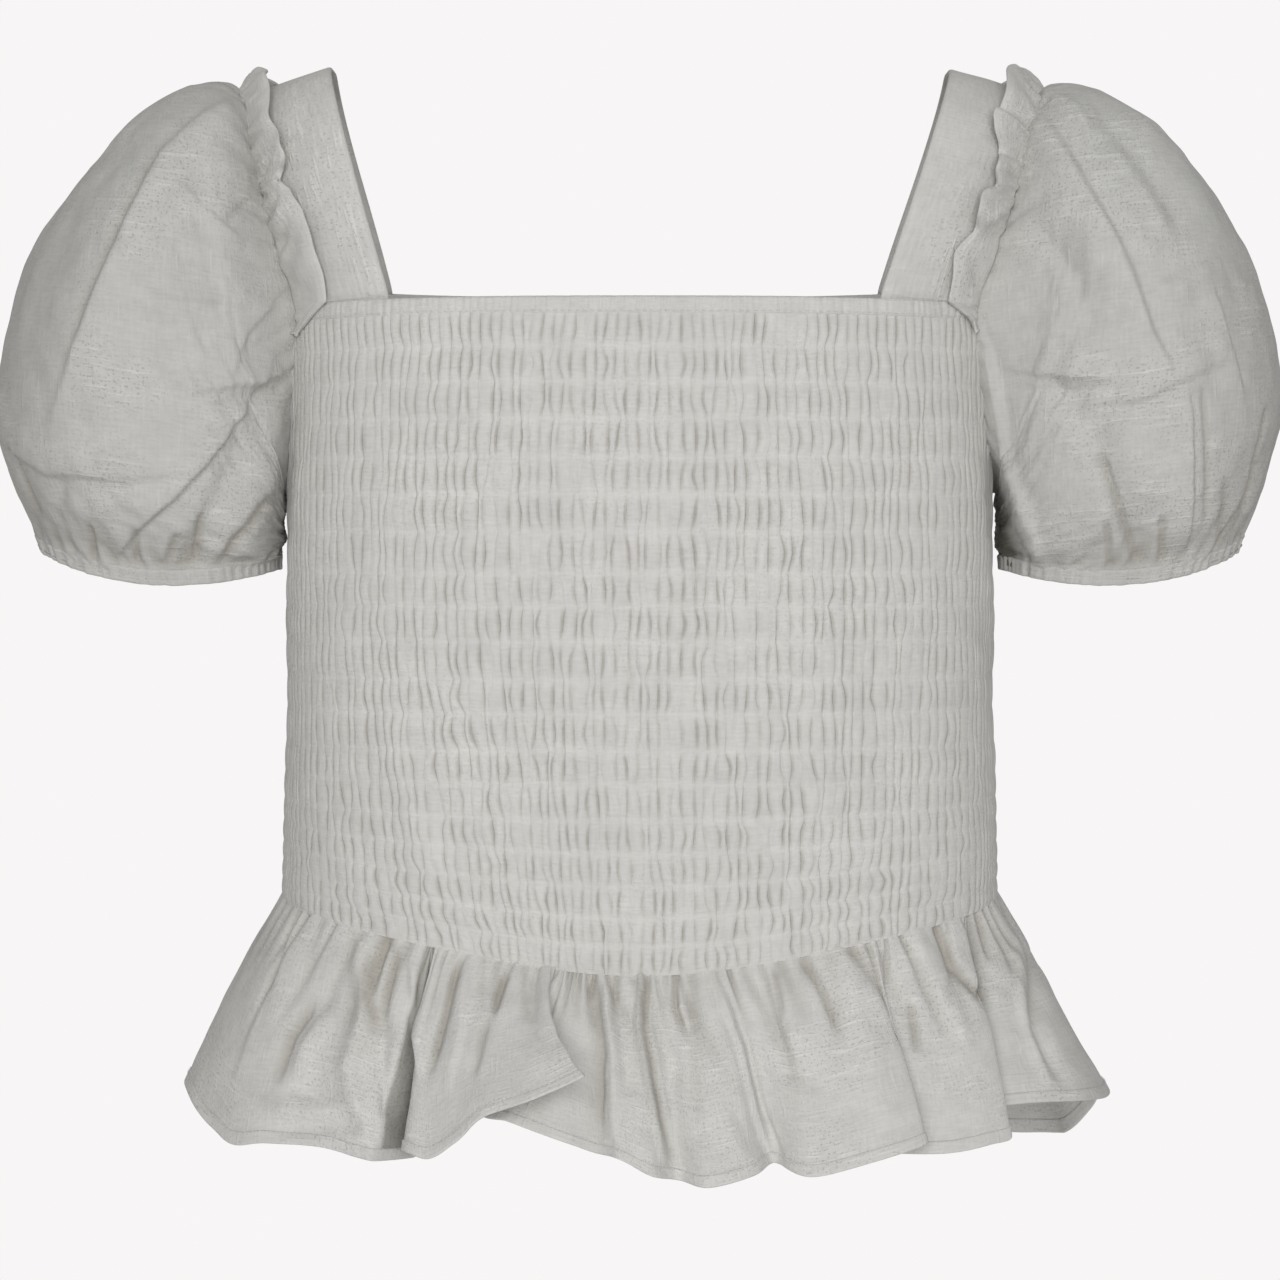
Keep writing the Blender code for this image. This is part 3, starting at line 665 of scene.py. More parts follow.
def gather_lift(gathers, across, reach, width, rolled=False):
    """Troughs that run from a seam and fade, where reach is the way from the seam.

    Widths and leans are turned to shares of the seam by its width, in metres.
    """
    lift = np.zeros(len(across))
    for gather in gathers:
        off = across - gather.place - gather.lean * reach / width
        if rolled:
            off = np.mod(off + 0.5, 1.0) - 0.5
        spread_out = gather.half_width * (1 + 0.8 * np.clip(reach / gather.length, 0, 1))
        fade = np.clip(1 - reach / gather.length, 0, 1) * (0.45 + 0.55 * ease(reach / 0.003))
        lift -= gather.depth * fade * bell(off * width, spread_out)
    return lift


# ---- shirring ---------------------------------------------------------------------------------
class Shirring:
    """The gathers of one shirred panel: where each trough runs, and how deep it is between two rows."""

    cells = len(SHIRRING_ROWS) - 1

    def __init__(self, facing, seed, slit, puff):
        dice = np.random.default_rng(seed)
        self.facing, self.slit, self.puff = facing, slit, puff
        widths = dice.uniform(0.85, 1.15, GATHERS)
        troughs = np.concatenate([[0], np.cumsum(widths)]) / widths.sum()
        drift = np.zeros((2 * self.cells + 3, GATHERS + 1))
        for level in range(1, len(drift)):
            drift[level] = 0.5 * drift[level - 1] + dice.normal(0, 0.17, GATHERS + 1)
        drift = np.clip(drift, -0.42, 0.42)
        drift[:, 0] = drift[:, -1] = 0
        self.troughs = troughs[None] + drift / GATHERS
        strength = dice.uniform(0.35, 1.2, (self.cells + 2, GATHERS + 1))
        strength *= 1 - 0.22 * bell(troughs - 0.5, 0.2)
        faint = dice.random((self.cells + 2, GATHERS + 1)) < 0.10
        self.depths = np.where(faint, 0.12 * strength, strength)
        self.peaks = dice.uniform(0.72, 1.4, (self.cells + 2, GATHERS + 1))
        self.puffs = dice.uniform(0.75, 1.25, (self.cells + 2, GATHERS + 1))

    def phase(self, across):
        steps = across * GATHERS * STEPS_PER_GATHER
        marks = [gather + phase for gather in range(GATHERS) for phase in GATHER_PHASES] + [GATHERS]
        return np.interp(steps, np.arange(len(marks)), marks)

    def share(self, phase, level):
        """How far across the panel a phase of the gathers lies at a level, from 0 to 1."""
        i = np.clip(phase.astype(int), 0, GATHERS - 1)
        half = np.clip(level * 2, 0, 2 * self.cells + 1)
        j = half.astype(int)
        blend = ease(half - j)
        before = mix(self.troughs[j, i], self.troughs[j + 1, i], blend)
        after = mix(self.troughs[j, i + 1], self.troughs[j + 1, i + 1], blend)
        return mix(before, after, phase - i)

    def turn(self, share):
        """The turn at a share of the panel's width, with the gathers evenly spaced along the cloth."""
        first, last = sides_across(self.facing)
        turns = np.linspace(0, math.pi, TURN_SAMPLES)
        level = np.full(TURN_SAMPLES, UNDERARM_HEIGHT)
        along = run_lengths(body_surface(around_body(turns, self.facing), level))
        corners = (0, strap_turn(first, self.facing), math.pi - strap_turn(last, self.facing), math.pi)
        side = SIDE_GATHERS / GATHERS
        reached = np.interp(share, (0, side, 1 - side, 1), np.interp(corners, turns, along))
        return np.interp(reached, along, turns)

    def row_heights(self, around):
        """The heights of all the stitched rows at each turn: level above, dipping with the seam below."""
        rows = np.arange(self.cells + 1)
        dips = np.clip((rows - LAST_LEVEL_ROW) / (self.cells - LAST_LEVEL_ROW), 0, 1)
        heights = SHIRRING_ROWS.copy()
        if self.facing < 0:
            raise_top = NECK_HEIGHT[-1] - NECK_HEIGHT[1]
            heights = heights + raise_top * (1 - rows / self.cells) ** 2
            heights = heights + dips * (SEAM_DIP[1] - SEAM_DIP[-1])
        return heights[None] + dips[None] * SEAM_DIP[self.facing] * np.cos(around)[:, None] ** 2

    def level_at(self, height, around):
        rows = self.row_heights(around)
        cell = np.clip((rows > height[:, None]).sum(axis=1) - 1, 0, self.cells - 1)
        here = np.arange(len(cell))
        return cell + (rows[here, cell] - height) / (rows[here, cell] - rows[here, cell + 1])

    def lay(self, across, down):
        """Turn, height and level of each place on the panel."""
        phase = self.phase(across)
        turn = self.turn(phase / GATHERS)
        around = around_body(turn, self.facing)
        first, last = sides_across(self.facing)
        edge = np.where(
            turn < math.pi / 2,
            armhole_height(turn, first, self.facing),
            armhole_height(math.pi - turn, last, self.facing),
        )
        top = np.maximum(self.level_at(edge, around), 0)
        top = np.where((edge > NECK_HEIGHT[self.facing] - CASING_HEIGHT - 0.001), 0, top)
        level = mix(top, self.cells, down)
        drifted = self.turn(self.share(phase, level))
        turn = mix(turn, drifted - self.slant(drifted, level), ease(down / 0.06))
        around = around_body(turn, self.facing)
        cell = np.clip(level.astype(int), 0, self.cells - 1)
        rows = self.row_heights(around)
        here = np.arange(len(cell))
        height = mix(rows[here, cell], rows[here, cell + 1], level - cell)
        return phase, level, around, height

    def slant(self, turn, level):
        """Lower down, the gathers lean: most between the middle and the last side across."""
        lower = np.clip((level - 8) / (self.cells - 8), 0, 1) ** 1.3
        degrees = 7.5 * bell(np.degrees(turn) - 130, 26)
        degrees = degrees - 1.5 * bell(np.degrees(turn) - 40, 16)
        return np.radians(degrees) * lower

    def depth_shares(self, phase, level):
        """How deep the troughs cut here, from 0 to about 1, and the share of the way down the cell."""
        i = np.clip(phase.astype(int), 0, GATHERS - 1)
        f = phase - i
        cell = np.clip(level.astype(int), 0, self.cells - 1)
        down = np.clip(level - cell, 0, 1)
        cut = 0
        for trough, off in ((i, f), (i + 1, 1 - f)):
            narrow = bell(off, SLIT_HALF_WIDTH) + 0.16 * bell(off, 3 * SLIT_HALF_WIDTH)
            run = 0.16 + 0.84 * np.sin(math.pi * down ** self.peaks[cell, trough]).clip(0) ** 0.8
            cut = cut + narrow * run * self.depths[cell, trough]
        return cut, down, cell, i

    def lift(self, phase, level, turn):
        cut, down, cell, i = self.depth_shares(phase, level)
        swell = np.sin(math.pi * down).clip(0) ** 0.6 * self.puffs[cell, i]
        crown = 1 - (2 * (phase - i) - 1) ** 2
        side = ease(np.abs(np.cos(turn)) * 2.4 - 1.35)
        calm = 1 - 0.55 * side
        return self.puff * swell * (0.75 + 0.35 * crown) * calm - self.slit * cut * calm - 0.0003


def shirred_panel(name, facing, seed, settings):
    shirring = Shirring(facing, seed, settings.slit_depth, settings.puff_height)

    def carry(across, down):
        phase, level, around, height = shirring.lay(across, down)
        points = body_surface(around, height)
        normal = (body_surface(around, height, 0.001) - points) * 1000
        lift = shirring.lift(phase, level, around) + crease_lift(BODICE_FOLDS[facing], points)
        lift += 0.0006 * undulation(across, down, 9, 7, seed + 1) * ease((1 - down) / 0.08)
        return points + normal * lift[:, None]

    # Painted shade in the gather slits, and a tint along the stitched rows.
    def shades(across, down):
        phase, level = shirring.lay(across, down)[:2]
        cut = shirring.depth_shares(phase, level)[0]
        near_row = np.abs(level - np.round(level))
        return {CREASE_SHADE: np.clip(cut, 0, 1), ROW_SHADE: bell(near_row, 0.10)}

    rows = STEPS_PER_CELL * Shirring.cells
    return new_piece(name, GATHERS * STEPS_PER_GATHER, rows, carry, PANEL_CUT, shades=shades)


# ---- the other pieces -------------------------------------------------------------------------
def neck_casing(name, facing):
    first, last = sides_across(facing)
    top = NECK_HEIGHT[facing]
    gathers = random_gathers(128, 31 + facing, (0.0005, 0.0008), (0.0001, 0.0007), (0.02, 0.04), 0.05)

    def place(along, across):
        turn = mix(strap_turn(first, facing), math.pi - strap_turn(last, facing), along)
        return body_surface(around_body(turn, facing), top - CASING_HEIGHT * across, -0.0010)

    def relief(along, across, points):
        stitched = -0.00030 * bell(across - NECK_STITCHES_DOWN, 0.10)
        return gather_lift(gathers, along, (1 - across) * CASING_HEIGHT, CASING_GATHER_SCALE) + stitched

    return new_band(name, 640, place, CASING_HEIGHT, 0.0026, CASING_CUT, relief)


def strap(side):
    def place(along, across):
        lean = mix(90.7, -90.7, along)
        points = strap_surface(side, across, lean)
        points[:, 0] += BACK_STRAP_SHIFT * (1 - across) * np.sin(np.radians(2 * np.clip(lean, 0, 90)))
        return points

    def relief(along, across, points):
        soft = 0.0005 * undulation(along, across, 7, 2, 5 if side == "left" else 6)
        foot = np.minimum(along, 1 - along)
        return soft - 0.0010 + 0.0004 * undulation(along, across, 3, 11, 7) * np.exp(-foot / 0.06)

    return new_band(
        "strap_cloth_" + side, 120, place, STRAP_TOP_WIDTH, 0.0022, STRAP_CUT, relief,
        mirrored=side == "right", rounds=40,
    )


def frill(side):
    seed = 51 if side == "left" else 61
    seam = random_gathers(46, seed, (0.0010, 0.0018), (0.0003, 0.0012), (0.006, 0.012), 0.3)
    ridges = random_gathers(30, seed + 3, (0.0016, 0.0030), (0.0006, 0.0021), (0.012, 0.030), 0.7)
    folds = random_gathers(17, seed + 1, (0.0018, 0.0028), (0.0006, 0.0018), (0.014, 0.030), 0.5)

    def place(along, across):
        stops = FRILL[side]
        lean, reach, lift = smooth_rows(stops, (1 - along) * (len(stops) - 1)).T
        inner, outer = strap_surface(side, lean * 0, lean), strap_surface(side, lean * 0 + 1, lean)
        width = np.linalg.norm(outer - inner, axis=1)
        inward = 1 - across
        inset = FRILL_BASE_INSET - 0.0040 * bell(lean, FRILL_TOP_SPREAD)
        over = 1 - (inset + np.maximum(reach, 0.0010) * inward) / width
        rise = FRILL_BASE_LIFT + lift * inward**1.4 - 0.0010 * ease((inward - 0.8) / 0.2)
        rise *= 1 - 0.6 * ease((np.abs(lean) - 84) / 10)
        return strap_surface(side, over, lean) + strap_out(side, over, lean) * rise[:, None]

    def relief(along, across, points):
        reach = (1 - across) * FRILL_GATHER_REACH
        waves = 0.0013 * undulation(along, across, 34, 1, seed + 2) * (1 - across)
        pinched, folded, ridged = (
            gather_lift(gathers, along, reach, FRILL_GATHER_SCALE) for gathers in (seam, folds, ridges)
        )
        return pinched + folded - ridged + waves

    return new_band(
        "frill_cloth_" + side, 380, place, 0.015, 0.0014, FRILL_CUT, relief,
        mirrored=side == "right", rounds=28,
    )


def crowd_front(across):
    """Sets a sleeve's columns closer together in front."""
    return across + SLEEVE_CROWDING / (2 * math.pi) * (np.cos(2 * math.pi * across) - 1)


def level_grain(points):
    """Threads that run level round a sleeve, and straight down it."""
    around = np.arctan2(points[:, 1], points[:, 0] - 0.178) * 0.062
    return np.stack([around, points[:, 2] - 0.12 * points[:, 0]], axis=1)


def sleeve(side):
    seed = 71 if side == "left" else 81
    head = random_gathers(46, seed, (0.0012, 0.0026), (0.0003, 0.0018), (0.010, 0.045), 0.15)
    hem = sleeve_hem_gathers(side)
    seen = SLEEVE_CREASES[side]

    def place(across, down):
        return sleeve_surface(side, across, down)

    def in_front(points):
        return ease(0.5 - points[:, 1] / SLEEVE_SIDE_BLEND)

    def hem_gathers(across, down):
        reach = (SLEEVE_HEM_DOWN - down) * SLEEVE_GATHER_REACH
        return gather_lift(hem, across, reach, HEM_GATHER_SCALE, rolled=True)

    def folds(chosen, behind, points, front):
        return crease_lift(chosen, points) * front + crease_lift(behind, points) * (1 - front)

    def relief(across, down, points):
        front = in_front(points)
        away = np.abs(np.mod(across + 0.5, 1) - 0.5) * 2
        inside = ease((away - 0.80) / 0.18)
        folded = folds(seen, SLEEVE_BACK_CREASES, points, front)
        gathered = gather_lift(head, across, down * SLEEVE_GATHER_REACH, ARMHOLE_GATHER_SCALE, rolled=True)
        gathered *= (1 - 0.7 * away) * (0.3 + 0.7 * ease(away / 0.12))
        gathered += hem_gathers(across, down)
        swell = sum(
            height * undulation(across, down, *cells, seed + step)
            for step, height, cells in ((2, 0.0008, (11, 6)), (3, 0.0008, (28, 16)), (4, 0.0004, (70, 40)))
        ) * ease(away / 0.12)
        middle = np.sin(math.pi * down).clip(0) ** 0.5
        tucked = ease((down - SLEEVE_HEM_DOWN) / 0.02)
        beside = bell(points[:, 0] - 0.136, 0.013) * bell(points[:, 2] + 0.150, 0.034)
        folded += 0.0036 * beside * front
        return (folded * (1 - 0.5 * inside) + swell * middle + gathered) * (1 - tucked) - 0.0006 * tucked

    # Painted shade in narrow creases and hem gathers, on the sleeve's outer side, and in the hollow beside
    # the body.
    def shades(across, down):
        points = place(across, down)
        front = in_front(points)
        sunk = -folds(narrow(seen), narrow(SLEEVE_BACK_CREASES), points, front) - hem_gathers(across, down)
        # Painted shade on the sleeve's outer side, where it turns away from the light, and on the right
        # sleeve outside its long crease.
        outer_side_shade = 0.15 * ease((points[:, 0] - 0.185) / 0.045)
        if side == "right":
            outer_side_shade += 0.09 * crease_lift([seen[1]._replace(lift=1.0, left=0.05, right=0.0012)], points)
        # Painted shade in the hollow between the sleeve and the body.
        hollow = crease_lift([SLEEVE_HOLLOW_SHADES[side]], points) * ease((-0.128 - points[:, 2]) / 0.03)
        sunk = np.clip(sunk / FULL_CREASE["sleeve"], 0, 1)
        return {CREASE_SHADE: sunk, DEEP_SHADE: (outer_side_shade + hollow) * front}

    return new_sheet(
        "sleeve_cloth_" + side, 330, 170, place, SLEEVE_CUT, relief, rolled=True,
        mirrored=side == "right", shades=shades, crowd=crowd_front, grain=level_grain,
    )


def sleeve_hem_gathers(side):
    seed = 72 if side == "left" else 82
    return random_gathers(50, seed, (0.0012, 0.0026), (0.0006, 0.0024), (0.008, 0.036), 0.25)


def sleeve_hem(side):
    fine = random_gathers(70, 95 if side == "left" else 96, (0.0006, 0.0012), (0.0002, 0.0009), (0.02, 0.03))
    pulled = sleeve_hem_gathers(side)

    def place(along, across):
        around = 2 * math.pi * np.mod(along, 1.0)
        upper, lower = section_surface(SLEEVE[-1], around), section_surface(SLEEVE_HEM, around)
        return mix(upper, lower, across[:, None])

    def relief(along, across, points):
        above, below = (
            gather_lift(gathers, along, share * HEM_GATHER_REACH, HEM_GATHER_SCALE, rolled=True)
            for gathers, share in ((fine, 1 - across), (pulled, across))
        )
        return above + 0.4 * below - 0.0004

    return new_band(
        "sleeve_hem_cloth_" + side, 420, place, 0.0062, 0.0014, SLEEVE_HEM_CUT, relief, rolled=True,
        mirrored=side == "right",
    )


def peplum_gathers(seed, across, down):
    gathers = random_gathers(70, seed, (0.0008, 0.0017), (0.0006, 0.0030), (0.010, 0.058), 0.2)
    return gather_lift(gathers, across, down * PEPLUM_GATHER_REACH, PEPLUM_GATHER_SCALE)


def peplum_relief(seen, seed):
    def relief(across, down, points):
        lift = peplum_gathers(seed, across, down) + crease_lift(seen, points)
        lift += 0.0009 * undulation(across, down, 16, 3, seed + 1) * ease(down * 3)
        lift += 0.0004 * undulation(across, down, 60, 9, seed + 2) * ease(down * 4)
        return lift * ease(np.minimum(across, 1 - across) / 0.012) * ease(down / 0.022)

    return relief


def peplum_place(folds):
    def place(across, down):
        return peplum_surface(folds, across, down)

    return place


def peplum(name, folds, seen, seed):
    place = peplum_place(folds)

    # Painted shade in narrow creases and gathers, and inside closed folds and the open fold.
    def shades(across, down):
        sunk = -crease_lift(narrow(seen), place(across, down)) - peplum_gathers(seed, across, down)
        out = smooth_rows(folds, across * (len(folds) - 1)).T[2]
        # Painted shade inside closed folds, where the folds sink in close to the body.
        deep = 0.6 * ease((0.024 - out) / 0.008) * down**0.6
        if folds is PEPLUM_FRONT:
            # Painted shade inside the open fold.
            inside = ease((0.98 - np.abs(across * (len(folds) - 1) - OPEN_FOLD)) / 0.1)
            deep = np.maximum(deep, 0.55 * inside * down**0.25)
        return {CREASE_SHADE: np.clip(sunk / FULL_CREASE["peplum"], 0, 1), DEEP_SHADE: deep}

    return new_sheet(name, 520, 64, place, PEPLUM_CUT, peplum_relief(seen, seed), shades=shades)


def peplum_hem(name, folds, seen, seed):
    relief, form = peplum_relief(seen, seed), peplum_place(folds)
    begin = 1 - PEPLUM_HEM_WIDTH / PEPLUM_HEM_SCALE

    def place(along, across):
        down = mix(begin, 1.0, across)
        points = form(along, down)
        return points + surface_normals(form, along, down) * relief(along, down, points)[:, None]

    return new_band(name, 520, place, PEPLUM_HEM_WIDTH, 0.0010, PEPLUM_HEM_CUT)


# ---- stitches ---------------------------------------------------------------------------------
def stitches(name, line, length=0.0021, pitch=0.0033, radius=0.00014, mirrored=False):
    """Small stitches along a line of close points, with the ways out of the cloth there."""
    points, normals = line
    seam = bmesh.new()
    along = run_lengths(points)
    for begin in np.arange(0.001, along[-1] - length, pitch):
        first, last = (Vector(points_along(points, along, place)) for place in (begin, begin + length))
        out = Vector(points_along(normals, along, begin)).normalized()
        run = last - first
        side = out.cross(run).normalized()
        turned = Matrix((run.normalized(), side, run.normalized().cross(side))).transposed().to_4x4()
        size = Matrix.Diagonal((run.length / 2, radius, radius * 0.8, 1))
        place = Matrix.Translation((first + last) / 2) @ turned @ size
        bmesh.ops.create_icosphere(seam, subdivisions=1, radius=1, matrix=place)
    if mirrored:
        bmesh.ops.scale(seam, vec=(-1, 1, 1), verts=seam.verts)
        bmesh.ops.reverse_faces(seam, faces=seam.faces)
    piece = made_object(name, seam)
    piece.data.shade_smooth()
    return piece


def line_on(place, across, down, lift, rolled=False):
    """A stitch line on a surface, at a fixed way down it, raised by an array or a number."""
    down = np.full(len(across), down)
    normals = surface_normals(place, across, down, rolled=rolled)
    return place(across, down) + normals * (lift + np.zeros(len(across)))[:, None], normals


# ---- materials --------------------------------------------------------------------------------
class Wire:
    """A number carried by a socket. Arithmetic on it adds Math nodes."""

    def __init__(self, shader, socket):
        self.shader, self.socket = shader, socket

    def math(self, operation, first, second):
        node = self.shader.node("ShaderNodeMath", {"operation": operation}, {0: first, 1: second})
        return Wire(self.shader, node.outputs[0])

    def __add__(self, other):
        return self.math("ADD", self, other)

    __radd__ = __add__

    def __sub__(self, other):
        return self.math("SUBTRACT", self, other)

    def __rsub__(self, other):
        return self.math("SUBTRACT", other, self)

    def __mul__(self, other):
        return self.math("MULTIPLY", self, other)

    __rmul__ = __mul__

    def above(self, edge, softness):
        """0 below the edge, rising to 1 over the softness."""
        settings = {"interpolation_type": "SMOOTHSTEP"}
        sockets = {"Value": self, "From Min": edge, "From Max": edge + softness}
        return Wire(self.shader, self.shader.node("ShaderNodeMapRange", settings, sockets).outputs["Result"])


class Shader:
    """A material's or the world's node tree, emptied, with one method that adds any node."""

    def __init__(self, owner):
        owner.use_nodes = True
        self.tree = owner.node_tree
        self.tree.nodes.clear()

    def node(self, kind, settings=None, sockets=None):
        node = self.tree.nodes.new(kind)
        for setting, value in (settings or {}).items():
            setattr(node, setting, value)
        for name, value in (sockets or {}).items():
            if isinstance(value, Wire):
                value = value.socket
            if isinstance(value, bpy.types.NodeSocket):
                self.tree.links.new(value, node.inputs[name])
            else:
                node.inputs[name].default_value = value
        return node

    def attribute(self, name):
        return Wire(self, self.node("ShaderNodeAttribute", {"attribute_name": name}).outputs["Fac"])

    def noise(self, vector, stretch, detail=1.0):
        scaled = self.node("ShaderNodeVectorMath", {"operation": "MULTIPLY"}, {0: vector, 1: stretch})
        sockets = {"Vector": scaled.outputs[0], "Scale": 1.0, "Detail": detail}
        return Wire(self, self.node("ShaderNodeTexNoise", None, sockets).outputs[0])

    def end(self, colour, tone, sockets):
        """Ends in a surface of one colour, made lighter or darker by the tone."""
        toned = self.node("ShaderNodeVectorMath", {"operation": "SCALE"}, {0: colour, "Scale": tone})
        sockets = {"Base Color": toned.outputs[0], **sockets}
        surface = self.node("ShaderNodeBsdfPrincipled", None, sockets)
        self.node("ShaderNodeOutputMaterial", None, {"Surface": surface.outputs[0]})


def opaque(colour):
    return (*colour, 1.0)


def tinted(shader, colour, factor, tint):
    sockets = {"Factor": factor, "A": colour, "B": opaque(tint)}
    return shader.node("ShaderNodeMix", {"data_type": "RGBA"}, sockets).outputs["Result"]


def gauze(name, settings, colour, weave=1.0, row_tint=0.0):
    """Slubby cotton gauze: fine threads both ways, thicker slubs, open pores, and warm painted shade in
    creases and deep folds.
    """
    shader = Shader(bpy.data.materials.new(name))
    cloth = shader.node("ShaderNodeUVMap", {"uv_map": CLOTH_UV}).outputs["UV"]
    place = shader.node("ShaderNodeTexCoord").outputs["Object"]
    weft = shader.noise(cloth, (170, 950, 1))
    warp = shader.noise(cloth, (950, 170, 1))
    weft_slubs = shader.noise(cloth, (60, 620, 1), 2.0)
    warp_slubs = shader.noise(cloth, (620, 60, 1), 2.0)
    patches = shader.noise(place, (28, 28, 28), 2.0)
    pores = shader.noise(cloth, (1150, 1000, 1)).above(0.60, 0.10) * patches.above(0.38, 0.25)
    streaks = weft_slubs.above(0.52, 0.14) * patches.above(0.44, 0.16)
    streaks = streaks + warp_slubs.above(0.58, 0.14) * 0.5
    mottle = shader.noise(place, (80, 80, 120), 3.0)
    tone = 0.685 + (weft * 1.3 + warp) * 0.13 + patches * 0.10 + mottle * 0.21
    tone = tone + streaks * (0.11 * weave) - pores * (0.20 * weave)
    # Painted shade, warm and dark, in the creases and gather slits.
    crease = shader.attribute(CREASE_SHADE)
    colour = tinted(shader, opaque(colour), crease * settings.crease_shade_strength, settings.crease_shade_colour)
    # Painted shade inside closed folds, in the sleeves' hollows and on their outer sides.
    colour = tinted(shader, colour, shader.attribute(DEEP_SHADE), settings.deep_shade_colour)
    on_row = shader.attribute(ROW_SHADE) * (1 - crease) * row_tint
    colour = tinted(shader, colour, on_row, settings.row_colour)
    height = (weft * 1.3 + warp) * 0.7 + streaks * (0.7 * weave) - pores * (1.0 * weave)
    bump = shader.node(
        "ShaderNodeBump", None, {"Height": height, "Strength": settings.weave_strength, "Distance": 0.0006}
    ).outputs["Normal"]
    shader.end(colour, tone, {
        "Roughness": 0.93, "Normal": bump,
        "Specular IOR Level": 0.25, "Sheen Weight": 0.08, "Sheen Roughness": 0.6,
    })


def thread(settings):
    shader = Shader(bpy.data.materials.new("sewing_thread"))
    place = shader.node("ShaderNodeTexCoord").outputs["Object"]
    twist = shader.noise(place, (2600, 2600, 2600))
    shader.end(settings.thread_colour, 0.85 + twist * 0.25, {"Roughness": 0.8})


def finish_piece(piece, material, slot, *nodes):
    piece.data.materials.append(bpy.data.materials[material])
    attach(piece, "root")
    if nodes:
        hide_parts(*nodes)
    return piece


# ---- settings ---------------------------------------------------------------------------------
def colour_setting(name, description, default):
    return bpy.props.FloatVectorProperty(
        name=name, description=description, subtype="COLOR", size=3, min=0.0, max=1.0, default=default
    )


def share_setting(name, description, default):
    return bpy.props.FloatProperty(
        name=name, description=description, subtype="FACTOR", min=0, max=1, default=default
    )


class ClothSettings(bpy.types.PropertyGroup):
    cloth_colour: colour_setting("Cloth", "Colour of the gauze", (0.640, 0.632, 0.605))
    # The sleeves' gauze is the same cloth painted darker: painted shade for the lower light on the sleeves.
    sleeve_shaded_colour: colour_setting("Sleeves", "Colour of the sleeves' single gauze", (0.552, 0.547, 0.524))
    # Painted shade: the dark colour mixed in inside closed folds, in the sleeves' hollows and on the sleeves'
    # outer sides.
    deep_shade_colour: colour_setting("Deep folds", "Colour of the gauze inside a closed fold", (0.13, 0.121, 0.09))
    # Painted shade deep in the creases, and how far it shows.
    crease_shade_colour: colour_setting("Creases", "Colour of the gauze deep in its creases", (0.37, 0.345, 0.30))
    row_colour: colour_setting("Rows", "Colour of the gauze along the stitched rows", (0.69, 0.680, 0.650))
    thread_colour: colour_setting("Thread", "Colour of the sewing thread", (0.68, 0.67, 0.645))
    crease_shade_strength: share_setting("Crease tint", "How far the crease colour shows", 0.75)
    weave_strength: share_setting("Weave", "Strength of the weave's relief", 0.45)
    slit_depth: bpy.props.FloatProperty(
        name="Gather depth", description="Depth of a gather in the shirring", unit="LENGTH", default=0.0011
    )
    puff_height: bpy.props.FloatProperty(
        name="Puff height", description="How far the cloth swells between rows", unit="LENGTH", default=0.0009
    )


class StageSettings(bpy.types.PropertyGroup):
    key_power: bpy.props.FloatProperty(
        name="Front light", description="Power of the large front light", unit="POWER", default=34.5
    )
    sky_strength: bpy.props.FloatProperty(
        name="Sky", description="Strength of the even light from all round", default=0.335
    )
    backdrop_colour: colour_setting("Backdrop", "Colour seen behind the top", (0.933, 0.916, 0.916))
    focal_length: bpy.props.FloatProperty(
        name="Lens", description="Focal length in millimetres", default=89.76
    )


# ---- operators --------------------------------------------------------------------------------
class TOP_OT_materials(bpy.types.Operator):
    """Makes the gauzes and the sewing thread"""

    bl_idname = "top.materials"
    bl_label = "Cloth and thread"

    def execute(self, context):
        settings = context.scene.top_cloth
        gauze("plain_gauze_cloth", settings, settings.cloth_colour)
        # A darker copy of the gauze for the sleeves, as painted shade.
        gauze("sleeve_gauze_shaded_cloth", settings, settings.sleeve_shaded_colour)
        gauze("shirred_gauze_cloth", settings, settings.cloth_colour, weave=0.35, row_tint=0.45)
        thread(settings)
        return {"FINISHED"}


class TOP_OT_shirred_panels(bpy.types.Operator):
    """Makes the front and back panels, gathered between stitched rows, and their neck casings"""

    bl_idname = "top.shirred_panels"
    bl_label = "Shirred panels"

    def execute(self, context):
        for name, facing, seed in (("front", 1, 11), ("back", -1, 12)):
            panel = shirred_panel("shirred_cloth_" + name, facing, seed, context.scene.top_cloth)
            finish_piece(panel, "shirred_gauze_cloth", "shirred_gauze", "bodice_" + name)
            casing = neck_casing("neck_casing_cloth_" + name, facing)
            finish_piece(casing, "shirred_gauze_cloth", "shirred_gauze", "neck_casing_" + name)
            first, last = sides_across(facing)
            ends = strap_turn(first, facing), math.pi - strap_turn(last, facing)
            turn = np.linspace(*ends, NECK_LINE_POINTS)
            around = around_body(turn, facing)
            height = np.full(NECK_LINE_POINTS, NECK_HEIGHT[facing] - NECK_STITCHES_DOWN * CASING_HEIGHT)
            points, raised, far = (body_surface(around, height, out) for out in (0, 0.0003, 1))
            seam = stitches("neck_stitches_" + name, (raised, far - points), length=0.0016, pitch=0.0026)
            finish_piece(seam, "sewing_thread", "shirred_gauze")
        return {"FINISHED"}


class TOP_OT_straps(bpy.types.Operator):
    """Makes the two flat doubled straps"""

    bl_idname = "top.straps"
    bl_label = "Straps"

    def execute(self, context):
        for side in SIDES:
            band = finish_piece(strap(side), "plain_gauze_cloth", "plain_gauze", "strap_" + side)
        return {"FINISHED"}


